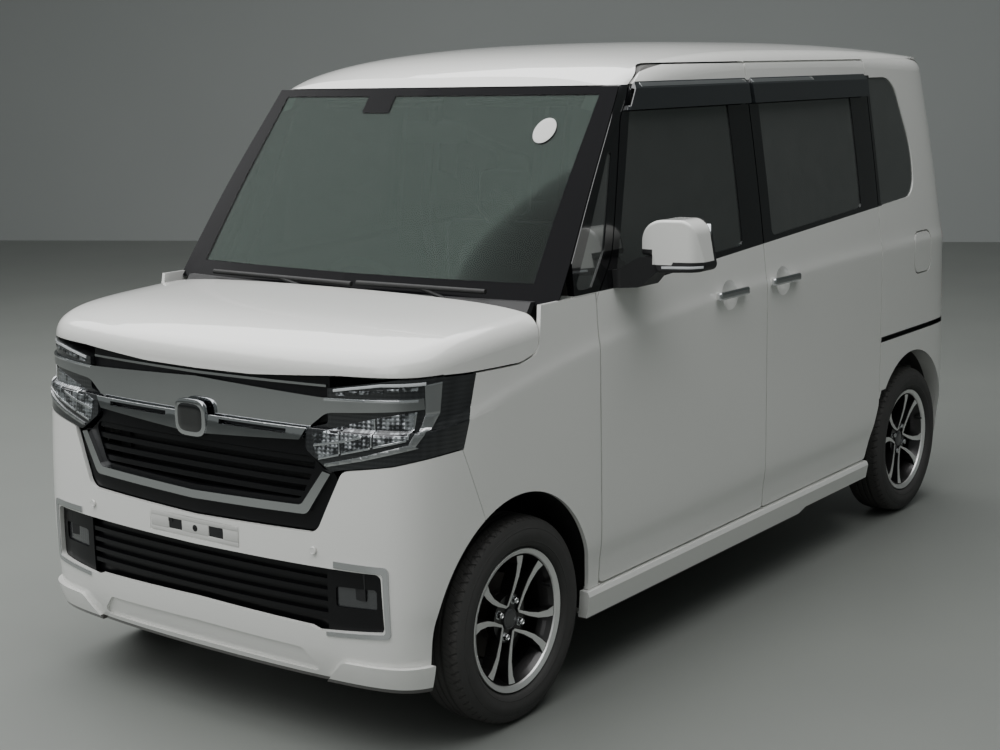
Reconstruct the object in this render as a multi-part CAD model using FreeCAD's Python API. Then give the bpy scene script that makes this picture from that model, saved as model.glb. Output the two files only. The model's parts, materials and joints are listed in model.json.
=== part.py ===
import FreeCAD
import Part
import math
import os

# A tall four door kei car with hinged front doors, sliding rear doors, a bonnet and a tailgate.
# Millimetres. X runs across the car with the car's left at +X, Y runs from nose to tail, Z is up.
# The origin lies on the ground below the middle of the car.

V = FreeCAD.Vector

# Overall sizes
LENGTH = 3395.0
WIDTH = 1475.0
HEIGHT = 1790.0
WHEELBASE = 2520.0
TRACK = 1305.0
FRONT_AXLE_Y = -1225.0
REAR_AXLE_Y = FRONT_AXLE_Y + WHEELBASE
HALF = WIDTH / 2
NOSE = -LENGTH / 2
TAIL = LENGTH / 2

# Walls, gaps and shut lines
SKIN = 12.0
SHUT_GAP = 5.5
SEAT_GAP = 0.3
DOOR_THICK = 95.0
FRAME_THICK = 48.0
TAILGATE_THICK = 70.0
ROOF_THICK = 46.0
ROOF_BEVEL = 576.0
BONNET_THICK = 26.0
RAIL_X = 560.0
DOOR_STEP = 27.0
FRAME_STEP = 14.0
FRONT_DOOR_Y = -854.0
DOOR_SPLIT_Y = 108.0
SLIDE_DOOR_REAR_Y = 990.0
DOOR_BOTTOM_Z = 283.0
DOOR_TOP_Z = 1712.0
GLASS_THICK = 4.5
GLASS_SET_IN = 4.0

# Belt line under the side windows, and the tops of the windows
BELT_FRONT_Z = 1107.0
BELT_RISE_FROM_Y = -600.0
BELT_SLOPE = 0.055
WINDOW_TOP_Z = 1648.0
WINDOW_SILL = 16.0

# Wheels, tyres and arches
TYRE_RADIUS = 278.5
TYRE_WIDTH = 157.0
RIM_RADIUS = 194.0
BEAD_RADIUS = 177.0
RIM_WIDTH = 128.0
ARCH_RADIUS = 328.0
ARCH_Z = 300.0
FRONT_ARCH_Y = FRONT_AXLE_Y - 13.0
REAR_ARCH_Y = REAR_AXLE_Y - 5.0
LINER_RADIUS = 338.0
LINER_THICK = 6.0
SPOKE_PAIRS = 4
SPOKE_START = 20.0
LUG_CIRCLE = 100.0
LUG_COUNT = 4
LUG_HOLE_RADIUS = 7.0

# Nose
BONNET_REAR_Y = -1092.0
BONNET_EDGE_Z = 976.0
BUMPER_SEAM_TOP_Y = -1463.0
BUMPER_BOTTOM_Z = 190.0
COWL_Z = 1104.0
WINDSCREEN_BASE_Y = -1090.0
WINDSCREEN_SLOPE = 0.756
WINDSCREEN_BOW = 50.0
WINDSCREEN_TOP_Z = 1655.0
PLATE_BOLT_SPACING = 210.0
PLATE_BOLT_RADIUS = 3.0
FRONT_PLATE_Z = 530.0
REAR_PLATE_Z = 830.0

# Tail
ROOF_REAR_Y = 1500.0
TAILGATE_HALF = 612.0
TAILGATE_BOTTOM_Z = 480.0

# Underbody
FLOOR_Z = 215.0
FLOOR_THICK = 25.0
REAR_FLOOR_Z = 330.0
RAIL_IN = 330.0
ENGINE_Z = (229.0, 880.0)
STRUT_TOP_Z = 800.0
STRUT_X = 526.0
REAR_DAMPER_TOP_Z = 628.0
SILL_BOTTOM_Z = 196.0

# Hinge axes
FRONT_DOOR_HINGE = (741.0, FRONT_DOOR_Y - 3.0)
BONNET_HINGE = (-1070.0, 1106.0)
TAILGATE_HINGE = (ROOF_REAR_Y - 8.0, 1757.0)
KINGPIN_X = 606.0
FRONT_HANDLE = (-130.0, 1017.0)
SLIDE_HANDLE = (222.0, 1021.0)
FUEL_LID_Y = (1290.0, 1440.0)
FUEL_LID_Z = (922.0, 1072.0)
MIRROR_Z = (1152.0, 1294.0)

# Where each wiper arm stands and where its tip holds the blade
WIPER_ARMS = [((-60, -1118, 1085), (-240, -1096, 1118)), ((430, -1097, 1085), (300, -1094, 1120))]

PARTS = {}


# Basic shapes


def box(x0, x1, y0, y1, z0, z1):
    """A box between two corners."""
    return Part.makeBox(x1 - x0, y1 - y0, z1 - z0, V(x0, y0, z0))


def rod(start, end, radius):
    """A round bar from one point to another."""
    a, b = V(*start), V(*end)
    return Part.makeCylinder(radius, (b - a).Length, a, b - a)


def mirrored(shape):
    """The same shape on the other side of the car."""
    return shape.mirror(V(0, 0, 0), V(1, 0, 0))


def pair(shape):
    """A left piece and its mirror image, as two solids."""
    return Part.makeCompound([shape, mirrored(shape)])


def whole(shape):
    """A half piece that ends on the centre plane, joined to its mirror image."""
    return shape.fuse(mirrored(shape)).removeSplitter()


def joined(shapes):
    """Several shapes made one."""
    return shapes[0].multiFuse(list(shapes[1:])) if len(shapes) > 1 else shapes[0]


def rounded_wire(corners, place):
    """A closed wire through flat corners, where a corner's third value is its radius."""
    flat = [complex(c[0], c[1]) for c in corners]
    spans = []
    for i, corner in enumerate(corners):
        here = flat[i]
        to_last = flat[i - 1] - here
        to_next = flat[(i + 1) % len(flat)] - here
        to_last /= abs(to_last)
        to_next /= abs(to_next)
        radius = corner[2] if len(corner) > 2 else 0.0
        if not radius:
            spans.append((here, None, here))
            continue
        half = math.acos(max(-1.0, min(1.0, (to_last.conjugate() * to_next).real))) / 2
        reach = radius / math.tan(half)
        inward = (to_last + to_next) / abs(to_last + to_next)
        middle = here + inward * (radius / math.sin(half) - radius)
        spans.append((here + to_last * reach, middle, here + to_next * reach))
    edges = []
    for i, (start, middle, end) in enumerate(spans):
        if middle is not None:
            edges.append(Part.Arc(place(start), place(middle), place(end)).toShape())
        following = spans[(i + 1) % len(spans)][0]
        if abs(following - end) > 1e-6:
            edges.append(Part.makeLine(place(end), place(following)))
    return Part.Wire(edges)


def side_prism(corners, x0, x1):
    """An outline of (y, z) corners, seen from the side, pushed from x0 to x1."""
    wire = rounded_wire(corners, lambda c: V(x0, c.real, c.imag))
    return Part.Face(wire).extrude(V(x1 - x0, 0, 0))


def front_prism(corners, y0, y1):
    """An outline of (x, z) corners, seen from the front, pushed from y0 to y1."""
    wire = rounded_wire(corners, lambda c: V(c.real, y0, c.imag))
    return Part.Face(wire).extrude(V(0, y1 - y0, 0))


def plan_prism(corners, z0, z1):
    """An outline of (x, y) corners, seen from above, pushed from z0 to z1."""
    wire = rounded_wire(corners, lambda c: V(c.real, c.imag, z0))
    return Part.Face(wire).extrude(V(0, 0, z1 - z0))


def revolved(profile, centre, axis=V(1, 0, 0)):
    """A closed profile of (along the axis, radius) corners turned about a wheel's axis."""
    cx, cy, cz = centre
    wire = rounded_wire(profile, lambda c: V(cx + c.real, cy, cz + c.imag))
    return Part.Face(wire).revolve(V(cx, cy, cz), axis, 360)


def softened(shape, radius):
    """A shape with all of its edges rounded."""
    return shape.makeFillet(radius, shape.Edges)


# The body surface


def smooth_surface(rows):
    """A cubic surface drawn towards a grid of points and ending on its border."""

    def knots(count):
        return list(range(count - 2)), [4] + [1] * (count - 4) + [4]

    u_knots, u_mults = knots(len(rows))
    v_knots, v_mults = knots(len(rows[0]))
    surface = Part.BSplineSurface()
    poles = [[V(*p) for p in row] for row in rows]
    surface.buildFromPolesMultsKnots(
        poles, u_mults, v_mults, u_knots, v_knots, False, False, 3, 3
    )
    return surface.toShape()


def crease_z(y):
    """Height of the pressed line along the side, which rises to the rear."""
    return 1045.0 - 113.0 * math.exp(-(y + 1120.0) / 700.0)


# Each level: height, or offset from the pressed line; half width less the full one; nose; tail
LEVELS = [
    (150.0, -26.0, 47.0, -47.0, False),
    (230.0, -16.0, 8.0, -17.0, False),
    (300.0, -13.0, 0.0, -2.0, False),
    (365.0, -9.0, 0.0, 0.0, False),
    (392.0, -1.5, 0.0, 0.0, False),
    (470.0, 0.0, 0.0, 0.0, False),
    (620.0, 0.0, 5.0, -4.0, False),
    (760.0, 0.0, 15.0, -9.0, False),
    (880.0, 0.0, 25.0, -15.0, False),
    (-22.0, 0.0, 33.0, -19.0, True),
    (2.0, -0.5, 37.0, -21.0, True),
    (26.0, -7.5, 40.0, -24.0, True),
    (1150.0, -15.0, 47.0, -34.0, False),
    (1300.0, -33.0, 57.0, -46.0, False),
    (1450.0, -53.0, 67.0, -60.0, False),
    (1600.0, -75.0, 77.0, -76.0, False),
    (1720.0, -92.0, 87.0, -92.0, False),
    (1830.0, -105.0, 97.0, -108.0, False),
]


def side_thickness(level):
    """Thickness of the side wall: the whole door below the belt, the window frame above."""
    return FRAME_THICK if level >= 1150.0 else DOOR_THICK


def wall_block(inset=0.0, front=None, rear=None, thick=False):
    """The left half of the body as a block, its side, nose and tail walls set in."""
    front = inset if front is None else front
    rear = inset if rear is None else rear
    rows = []
    for level, narrow, nose, tail, follows in LEVELS:
        side = inset
        if thick:
            side = DOOR_THICK if follows else side_thickness(level)
        w = HALF + narrow - side
        f = NOSE + nose + front
        r = TAIL + tail - rear
        path = [
            (0, f), (230, f + 1), (440, f + 16), (600 - 0.6 * side, f + 36), (w - 28, f + 84),
            (w, f + 240), (w, f + 420), (w, FRONT_DOOR_Y), (w, -300), (w, 300), (w, 800),
            (w, r - 420), (w, r - 190), (w - 12, r - 60), (w - 75, r - 10), (420, r - 1),
            (200, r), (0, r),
        ]
        rows.append([(x, y, level + (crease_z(y) if follows else 0.0)) for x, y in path])
    face = smooth_surface(rows)
    bottom, top = rows[0][0][2], rows[-1][0][2]

    def edge(test):
        return [e for e in face.Edges if test(e.BoundBox)][0]

    low = edge(lambda b: abs(b.ZMax - bottom) < 0.01)
    high = edge(lambda b: abs(b.ZMin - top) < 0.01)
    nose_line = edge(lambda b: b.XMax < 0.01 and b.YMax < 0)
    tail_line = edge(lambda b: b.XMax < 0.01 and b.YMin > 0)

    def closing(curve):
        ends = sorted((v.Point for v in curve.Vertexes), key=lambda p: p.y)
        return Part.makeLine(ends[0], ends[1])

    low_line, high_line = closing(low), closing(high)
    shell = Part.Shell(
        [
            face,
            Part.Face(Part.Wire(Part.__sortEdges__([low, low_line]))),
            Part.Face(Part.Wire(Part.__sortEdges__([high, high_line]))),
            Part.Face(Part.Wire(Part.__sortEdges__([nose_line, high_line, tail_line, low_line]))),
        ]
    )
    shell.sewShape()
    solid = Part.Solid(shell)
    if solid.Volume < 0:
        solid.reverse()
    return solid


ROOF_LINE = [
    (-1200, 1380), (-900, 1545), (-740, 1640), (-630, 1700), (-470, 1752), (-200, 1778),
    (100, 1790), (500, 1790), (900, 1788), (1250, 1778), (1500, 1764), (1900, 1738),
]
ROOF_CROWN = [(0, 0), (180, 0), (380, -8), (560, -26), (700, -62), (850, -125)]
BONNET_LINE = [
    (-1900, 900), (-1700, 985), (-1610, 1040), (-1500, 1076), (-1400, 1090), (-1250, 1100),
    (-1100, 1108), (-950, 1116), (-700, 1125),
]
BONNET_CROWN = [(0, 0), (200, 0), (420, -4), (600, -12), (700, -26), (850, -60)]


def crowned_block(line, crown, drop):
    """Everything below a lengthwise line that is crowned across the car."""
    face = smooth_surface([[(x, y, z + fall - drop) for x, fall in crown] for y, z in line])
    return face.extrude(V(0, 0, -3000))


def long_top_edge(solid):
    """The edge where the top meets the wall."""
    found = []
    for e in solid.Edges:
        b = e.BoundBox
        if b.ZMin > 900 and b.XMax > 450 and b.XMin < 10 and b.YLength > 500:
            found.append(e)
    return found


def cabin_block(inset, roof_drop, radius=0.0, bevel=False, **walls):
    """The left half of the cabin with its roof edge rounded, bevelled or sharp."""
    block = wall_block(inset, **walls).common(crowned_block(ROOF_LINE, ROOF_CROWN, roof_drop))
    block = block.common(box(-1, 900, -1150, 1900, 0, 2000))
    if bevel:
        reach = ROOF_BEVEL - math.sqrt(2.0) * inset
        rows = [[(reach + d, y, z - d) for d in (-400, 200, 800, 1400, 2000)] for y, z in ROOF_LINE]
        block = block.common(smooth_surface(rows).extrude(V(-3000, 0, 0)))
    return block.makeFillet(radius, long_top_edge(block)) if radius else block


def nose_block(inset, drop, radius):
    """The left half of the nose, bonnet edge rounded."""
    block = wall_block(inset).common(crowned_block(BONNET_LINE, BONNET_CROWN, drop))
    block = block.common(box(-1, 900, -1900, FRONT_DOOR_Y - SHUT_GAP, 0, 2000))
    return block.makeFillet(radius, long_top_edge(block)) if radius else block


def windscreen_face(shift):
    """The bowed, raked windscreen surface moved back by shift."""
    rows = []
    for z in (950, 1104, 1280, 1460, 1650, 1850):
        share = max(0.0, min(1.0, (z - COWL_Z) / 546.0))
        y = WINDSCREEN_BASE_Y + (z - COWL_Z) * WINDSCREEN_SLOPE - 14.0 * math.sin(math.pi * share)
        rows.append([(x, y + shift + WINDSCREEN_BOW * (x / 660.0) ** 2, z) for x in (0, 200, 400, 600, 900)])
    return smooth_surface(rows)


def behind_windscreen(shift):
    """Everything behind the windscreen surface."""
    return windscreen_face(shift).extrude(V(0, 4000, 0))


def belt_z(y):
    """Height of the belt line under the side windows."""
    return BELT_FRONT_Z + BELT_SLOPE * max(0.0, y - BELT_RISE_FROM_Y)


# Outlines seen from the side, each grown or shrunk by a margin


def front_door_outline(grow=0.0):
    """The front door: upright below the belt, raked with the pillar above."""
    g = grow
    return [
        (FRONT_DOOR_Y - g, DOOR_BOTTOM_Z - g, 20), (DOOR_SPLIT_Y + g, DOOR_BOTTOM_Z - g, 12),
        (DOOR_SPLIT_Y + g, DOOR_TOP_Z + g, 12), (-440 - g, DOOR_TOP_Z + g, 200), (-556 - g, 1655 + g, 60),
        (-637 - g, 1572, 80), (-762 - g, 1195, 200), (FRONT_DOOR_Y - g, 1085 + 0.4 * g, 60),
    ]


def slide_door_outline(grow=0.0):
    """The sliding door, its lower rear corner following the wheel arch."""
    g = grow
    return [
        (DOOR_SPLIT_Y + SHUT_GAP - g, DOOR_BOTTOM_Z - g, 12), (900 + g, DOOR_BOTTOM_Z - g, 20),
        (SLIDE_DOOR_REAR_Y + g, 470 - g, 60), (SLIDE_DOOR_REAR_Y + g, DOOR_TOP_Z + g, 12),
        (DOOR_SPLIT_Y + SHUT_GAP - g, DOOR_TOP_Z + g, 12),
    ]


def window_outline(y0, y1, lean, shrink=0.0):
    """A side window between two pillars, its front edge leaning back by lean."""
    s = shrink
    low = belt_z(y0) + WINDOW_SILL + s
    return [
        (y0 + s, low, 22), (y1 - s, belt_z(y1) + WINDOW_SILL + s, 22),
        (y1 - s, WINDOW_TOP_Z - s, 22), (y0 + lean + s, WINDOW_TOP_Z - s, 22),
    ]


FRONT_WINDOW = (-758.0, -24.0, 192.0)
SLIDE_WINDOW = (172.0, 852.0, 0.0)


def quarter_outline(shrink=0.0):
    """The rear quarter window, rounded at its rear edge."""
    s = shrink
    front = SLIDE_DOOR_REAR_Y + SHUT_GAP + 20
    return [
        (front + s, 1197 + s, 12), (1318 - s, 1214 + s, 85), (1336 - s, 1372, 320),
        (1226 - s, 1652 - s, 125), (front + s, 1652 - s, 12),
    ]


def front_quarter_outline(shrink=0.0):
    """The fixed pane between the windscreen pillar and the front door."""
    s = shrink
    return [
        (-958 + s, BELT_FRONT_Z + 14 + s, 14), (-876 - s, BELT_FRONT_Z + 14 + s, 14),
        (-800 - s, 1215, 120), (-708 - s, 1478 - s, 8), (-726 + s, 1478 - s, 8),
    ]


def arch(y, z=ARCH_Z, radius=ARCH_RADIUS, x0=300.0, x1=900.0):
    """The round wheel opening, open downwards."""
    disc = Part.makeCylinder(radius, x1 - x0, V(x0, y, z), V(1, 0, 0))
    return disc.fuse(box(x0, x1, y - radius, y + radius, 0, z))


def rear_arch_lead(x0=300.0):
    """The slanted lead of the rear wheel opening towards the sill."""
    return side_prism([(892, 150), (892, 286), (1010, 520), (REAR_ARCH_Y, 520), (REAR_ARCH_Y, 150)], x0, 900)


BONNET_SEAM = [
    (-1900, 938), (-1560, BONNET_EDGE_Z + 8, 200), (-1417, BONNET_EDGE_Z, 200),
    (-1215, BONNET_EDGE_Z - 6, 120), (-1138, BONNET_EDGE_Z + 12, 46), (BONNET_REAR_Y - 14, 1200),
]


def bonnet_region(grow=0.0):
    """Everything over the bonnet's shut line: seen from the side, and dipping at the nose."""
    g = grow
    lower = [(c[0] + g * (i > 3), c[1] - g, *c[2:]) for i, c in enumerate(BONNET_SEAM)]
    side = side_prism([*lower, (-1900, 1200)], -1, 900).common(box(-1, 900, -1500, 0, 0, 1300))
    dip = [(-1, 957 - g), (200, 959 - g, 400), (480, 978 - g, 300), (800, 984 - g), (800, 1200), (-1, 1200)]
    return side.fuse(front_prism(dip, -1900, -1500))


def front_face_outline(grow=0.0):
    """The opening for grille and lamps, seen from the front."""
    g = grow
    return [
        (-1, 570 - g), (428 + g, 582 - g, 40), (505 + g, 745 - g, 30), (640, 766 - g, 200),
        (760, 797 - g), (760, 1150), (-1, 1150),
    ]


def lamp_side_limit():
    """Everything ahead of the headlamp's rear edge, seen from the side."""
    line = [(-1900, 560), (-1478, 560), (-1463, 780, 12), (-1385, 1000), (-1385, 1100), (-1900, 1100)]
    return side_prism(line, -1, 900)


LAMP_OUTLINE = [
    (447, 944), (760, 996), (760, 800), (640, 769, 200), (512, 750, 30), (470, 741, 20),
    (393, 790, 20), (393, 842, 10), (447, 856, 10),
]


GRILLE_OUTLINE = [
    (-1, 574), (424, 586, 40), (500, 742, 30), (440, 742, 20), (388, 785, 20), (388, 846, 10),
    (443, 860, 10), (443, 1150), (-1, 1150),
]

BAR_OUTLINE = [
    (-1, 790), (376, 813, 6), (400, 850, 20), (446, 884, 60), (705, 905, 6), (708, 932, 6),
    (430, 921, 200), (-1, 937),
]

BEZEL_OUTLINE = [
    (452, 320), (634, 334, 14), (632, 517, 14), (480, 517), (480, 500), (618, 499, 8), (622, 345, 8),
    (452, 331),
]


def fog_outline(grow=0.0):
    """A fog lamp seen from the front."""
    g = grow
    return [(474 - g, 396 - g, 8), (590 + g, 400 - g, 8), (590 + g, 452 + g, 8), (474 - g, 448 + g, 8)]


def front_mask(outline, y0=-1900.0, y1=-1300.0):
    """A front view outline as a block through the nose."""
    return front_prism(outline, y0, y1)


def layer(outer, inner, region):
    """What lies between two body blocks within a region, which is cut out first because that is quick."""
    b = region.BoundBox
    near = box(b.XMin - 9, b.XMax + 9, b.YMin - 9, b.YMax + 9, b.ZMin - 9, b.ZMax + 9)
    return outer.common(region).cut(inner.common(near))


def roof_region(grow=0.0):
    """Everything above the roof's shut lines."""
    g = grow
    line = [
        (-1900, WINDSCREEN_TOP_Z + 3 - g), (-562 + g, WINDSCREEN_TOP_Z + 3 - g, 10),
        (-440 + g, DOOR_TOP_Z + SHUT_GAP - g, 200), (ROOF_REAR_Y + g, DOOR_TOP_Z + SHUT_GAP - g),
        (ROOF_REAR_Y + g, 1900), (-1900, 1900),
    ]
    middle = box(-1, 576 + g, -900, ROOF_REAR_Y + g, WINDSCREEN_TOP_Z + 3 - g, 1900)
    return side_prism(line, -1, 900).fuse(middle)


def tailgate_opening(grow=0.0):
    """The tailgate seen from behind."""
    g = grow
    low = TAILGATE_BOTTOM_Z - g
    side = TAILGATE_HALF + g
    outline = [(-1, low), (side, low, 30), (side, 1560, 60), (side - 10, 1900), (-1, 1900)]
    return front_prism(outline, TAIL - 260, TAIL + 50)


def build_roof(body):
    """The roof panel, as thick as the whole roof."""
    roof = layer(body["outer"], body["trim"], roof_region())
    PARTS["roof_panel"] = whole(roof.cut(body["screen"]))


def handle(y, z):
    """A pull handle over its cup: the cup to cut and the bar to add."""
    x = HALF
    cup = Part.makeSphere(75, V(x + 55, y, z))
    bar = softened(box(x + 3, x + 20, y - 92, y + 92, z - 13, z + 13), 8)
    posts = [box(x - 30, x + 6, y + d, y + d + 20, z - 10, z + 10) for d in (-86, 66)]
    return cup, joined([bar, *posts])


def build_doors(body):
    """Front and sliding doors, each with a thin flange and a thick body."""
    side = body["side"]
    for name, shape, window, grip in (
        ("front_door", front_door_outline, FRONT_WINDOW, FRONT_HANDLE),
        ("sliding_door", slide_door_outline, SLIDE_WINDOW, SLIDE_HANDLE),
    ):
        outside = side_prism(shape(), 400, 900)
        inside = side_prism(shape(-DOOR_STEP), 300, 910)
        b = outside.BoundBox
        around = box(400, 900, b.YMin - 9, b.YMax + 9, b.ZMin - 9, b.ZMax + 9)
        ring = body["skin"].common(around.cut(inside))
        door = side.common(outside).cut(ring).cut(side_prism(window_outline(*window), 300, 900))
        cup, bar = handle(*grip)
        PARTS[name] = door.cut(cup).cut(roof_region(SHUT_GAP)).fuse(bar)


def build_side(body):
    """Body side: pillars, sill, cant rail and rear quarter, with the fuel lid."""
    reach = (400, 900)
    frame = body["side"].common(box(RAIL_X, 900, -960, TAIL + 10, SILL_BOTTOM_Z, 2000))
    ahead = box(0, 900, -1200, FRONT_DOOR_Y - 1, 0, BELT_FRONT_Z - 2)
    skins = joined([
        ahead, side_prism(slide_door_outline(SHUT_GAP), *reach), rear_bumper_region(SEAT_GAP),
        tail_lamp_region(SEAT_GAP),
    ])
    frame = frame.cut(roof_region(SEAT_GAP))
    frame = frame.cut(skins.common(box(400, 900, -1200, 1900, 150, 1900)).cut(body["seat"]))
    moving = side_prism(front_door_outline(SHUT_GAP), *reach)
    moving = moving.fuse(box(0, 900, -1000, 905, 0, DOOR_BOTTOM_Z - 4))
    frame = frame.cut(moving.cut(body["clear"].common(box(300, 900, -1100, 1000, 150, 1900))))
    for hole in (
        side_prism(front_door_outline(-FRAME_STEP), *reach),
        side_prism(slide_door_outline(-FRAME_STEP), *reach),
        side_prism(quarter_outline(), 300, 900), side_prism(front_quarter_outline(), 300, 900),
        arch(REAR_ARCH_Y), rear_arch_lead(), arch(FRONT_ARCH_Y, radius=LINER_RADIUS + 8),
        tailgate_opening(SHUT_GAP),
    ):
        frame = frame.cut(hole)
    deeper = wall_block(22.0).common(box(600, 900, 900, 1650, 600, 1200))
    lid = side_prism(fuel_lid_outline(SHUT_GAP), 600, 900)
    slot = side_prism([(1000, 700), (1585, 700), (1585, 717), (1000, 717)], 600, 900)
    PARTS["body_side_right"] = mirrored(frame.cut(slot.cut(deeper)))
    PARTS["body_side_left"] = frame.cut(lid.fuse(slot).cut(deeper))
    PARTS["fuel_lid"] = layer(body["wall"], wall_block(SKIN), side_prism(fuel_lid_outline(), 600, 900))


def build_glass(body):
    """Side panes, windscreen and the tailgate's pane."""
    near, far, gap = wall_block(GLASS_SET_IN), wall_block(GLASS_SET_IN + GLASS_THICK), SEAT_GAP
    PARTS["front_door_glass"] = layer(near, far, side_prism(window_outline(*FRONT_WINDOW, gap), 500, 900))
    outlines = (window_outline(*SLIDE_WINDOW, gap), quarter_outline(gap), front_quarter_outline(gap))
    panes = [layer(near, far, side_prism(o, 500, 900)) for o in outlines]
    PARTS["side_glass"] = pair(Part.makeCompound(panes))
    sheet = windscreen_face(0.0).extrude(V(0, GLASS_THICK, 0))
    sheet = sheet.common(box(-1, 900, -1900, 0, COWL_Z - 14, WINDSCREEN_TOP_Z))
    PARTS["windscreen"] = whole(sheet.common(wall_block(3.0)))
    PARTS["tailgate_glass"] = whole(layer(near, far, tailgate_window(gap)))


def tailgate_window(shrink=0.0):
    """The window in the tailgate, seen from behind."""
    s = shrink
    outline = [(-1, 1150 + s), (548 - s, 1162 + s, 50), (530 - s, 1585 - s, 50), (-1, 1600 - s)]
    return front_prism(outline, 1400, 1900)


def build_tail(body):
    """Tailgate, rear bumper and tail lamps."""
    edge = ROOF_REAR_Y + SHUT_GAP
    rear = [(edge, 1900), (edge, 1690), (1560, 1640), (1560, 400), (1900, 400), (1900, 1900)]
    behind = side_prism(rear, -1, 900)
    tailgate = layer(body["outer"], body["trim"], tailgate_opening().common(behind))
    tailgate = tailgate.cut(tailgate_window())
    recess = front_prism([(-1, 735), (212, 735, 20), (212, 925, 20), (-1, 925)], 1500, 1900)
    tailgate = tailgate.cut(recess.cut(wall_block(26.0).common(box(-9, 300, 1400, 1900, 600, 1000))))
    slab = crowned_block(ROOF_LINE, ROOF_CROWN, -5.0).cut(crowned_block(ROOF_LINE, ROOF_CROWN, 27.3))
    tailgate = tailgate.cut(slab.common(spoiler_plan(1.0)))
    PARTS["tailgate"] = whole(tailgate.cut(plate_bolt(REAR_PLATE_Z, 1600, 1750)))

    slab = crowned_block(ROOF_LINE, ROOF_CROWN, 1.0).cut(crowned_block(ROOF_LINE, ROOF_CROWN, 27.0))
    PARTS["rear_spoiler"] = whole(slab.common(spoiler_plan()))

    inner = wall_block(SKIN)
    notch = box(-1, TAILGATE_HALF + 1, 1300, 1900, TAILGATE_BOTTOM_Z - SHUT_GAP, 900)
    bumper = layer(body["wall"], inner, rear_bumper_region())
    PARTS["rear_bumper"] = whole(bumper.cut(arch(REAR_ARCH_Y)).cut(notch))
    PARTS["tail_lamps"] = pair(layer(body["wall"], inner, tail_lamp_region()))


def spoiler_plan(grow=0.0):
    """Where the spoiler lies over the top of the tailgate, seen from above."""
    g = grow
    front = ROOF_REAR_Y + SHUT_GAP + 1 - g
    outline = [(-1, front), (585 + g, front), (585 + g, 1640 + g, 60), (300, 1662 + g, 500), (-1, 1666 + g)]
    return plan_prism(outline, 1500, 1900)


def plate_bolt(z, y0, y1):
    """The hole for one of a number plate's two bolts."""
    x = PLATE_BOLT_SPACING / 2
    return rod((x, y0, z), (x, y1, z), PLATE_BOLT_RADIUS)


def fuel_lid_outline(grow=0.0):
    """The round cornered filler lid in the left rear quarter."""
    (y0, y1), (z0, z1) = FUEL_LID_Y, FUEL_LID_Z
    g = grow
    return [(y0 - g, z0 - g, 40), (y1 + g, z0 - g, 40), (y1 + g, z1 + g, 40), (y0 - g, z1 + g, 40)]


def rear_bumper_region(grow=0.0):
    """Where the rear bumper lies: low behind the wheels, higher at the corners."""
    g = grow
    outline = [
        (1500 - g, 192), (1900, 192), (1900, 640 + g), (1600 - g, 640 + g, 20), (1560 - g, 540, 60),
        (1500 - g, 500),
    ]
    return side_prism(outline, -1, 900)


def tail_lamp_region(grow=0.0):
    """The upright lamps at the rear corners."""
    g = grow
    low, high = 792 - g, 1312 + g
    strip = side_prism([(1592 - g, low, 20), (1900, low), (1900, high), (1575 - g, high, 30)], 500, 900)
    return strip.cut(box(0, TAILGATE_HALF + SHUT_GAP + 1 - g, 1300, 1900, 0, 2000))


def build_body():
    """The cabin's panels."""
    body = {
        "outer": cabin_block(0.0, 0.0, 70.0),
        "skin": cabin_block(SKIN, SKIN, bevel=True),
        "seat": cabin_block(SKIN + SEAT_GAP, SKIN + SEAT_GAP, bevel=True),
        "clear": cabin_block(SKIN + 6.0, SKIN + 6.0, bevel=True),
        "trim": cabin_block(0.0, ROOF_THICK, thick=True, rear=TAILGATE_THICK),
        "wall": wall_block(),
    }
    ahead = windscreen_face(-2000).extrude(V(0, 2000, 0))
    pocket = windscreen_face(-80).extrude(V(0, 80 + GLASS_THICK + SEAT_GAP, 0))
    body["screen"] = ahead.fuse(pocket.common(box(-1, 900, -1900, 0, 0, WINDSCREEN_TOP_Z + 3)))
    flank = layer(body["outer"], body["trim"], box(RAIL_X, 900, -1200, 1900, 150, 2000))
    body["side"] = flank.cut(body["screen"])
    build_roof(body)
    build_doors(body)
    build_side(body)
    build_glass(body)
    build_visors()
    build_tail(body)


def build_visors():
    """Rain visors over the tops of the door windows, seated on the door frames above the glass."""
    outside = [(640, 1666), (656, 1666, 3), (673, 1647, 6), (683, 1588)]
    section = [*outside, (680, 1588), (670, 1645, 3), (640, 1653)]
    whole_section = [*outside, (640, 1588)]
    wall = wall_block(-SEAT_GAP)
    for name, y0, y1, lean in (("front_door_visor", -613.0, 98.0, 62.0), ("side_visors", 122.0, 976.0, 0.0)):
        outline = [(y0, 1587), (y1, 1587, 10), (y1, 1667), (y0 + lean, 1667, 24)]
        ends = front_prism(whole_section, y0, y0 + 10).fuse(front_prism(whole_section, y1 - 4, y1))
        strip = front_prism(section, y0, y1).fuse(ends)
        PARTS[name] = strip.common(side_prism(outline, 500, 900)).cut(wall)


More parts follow.
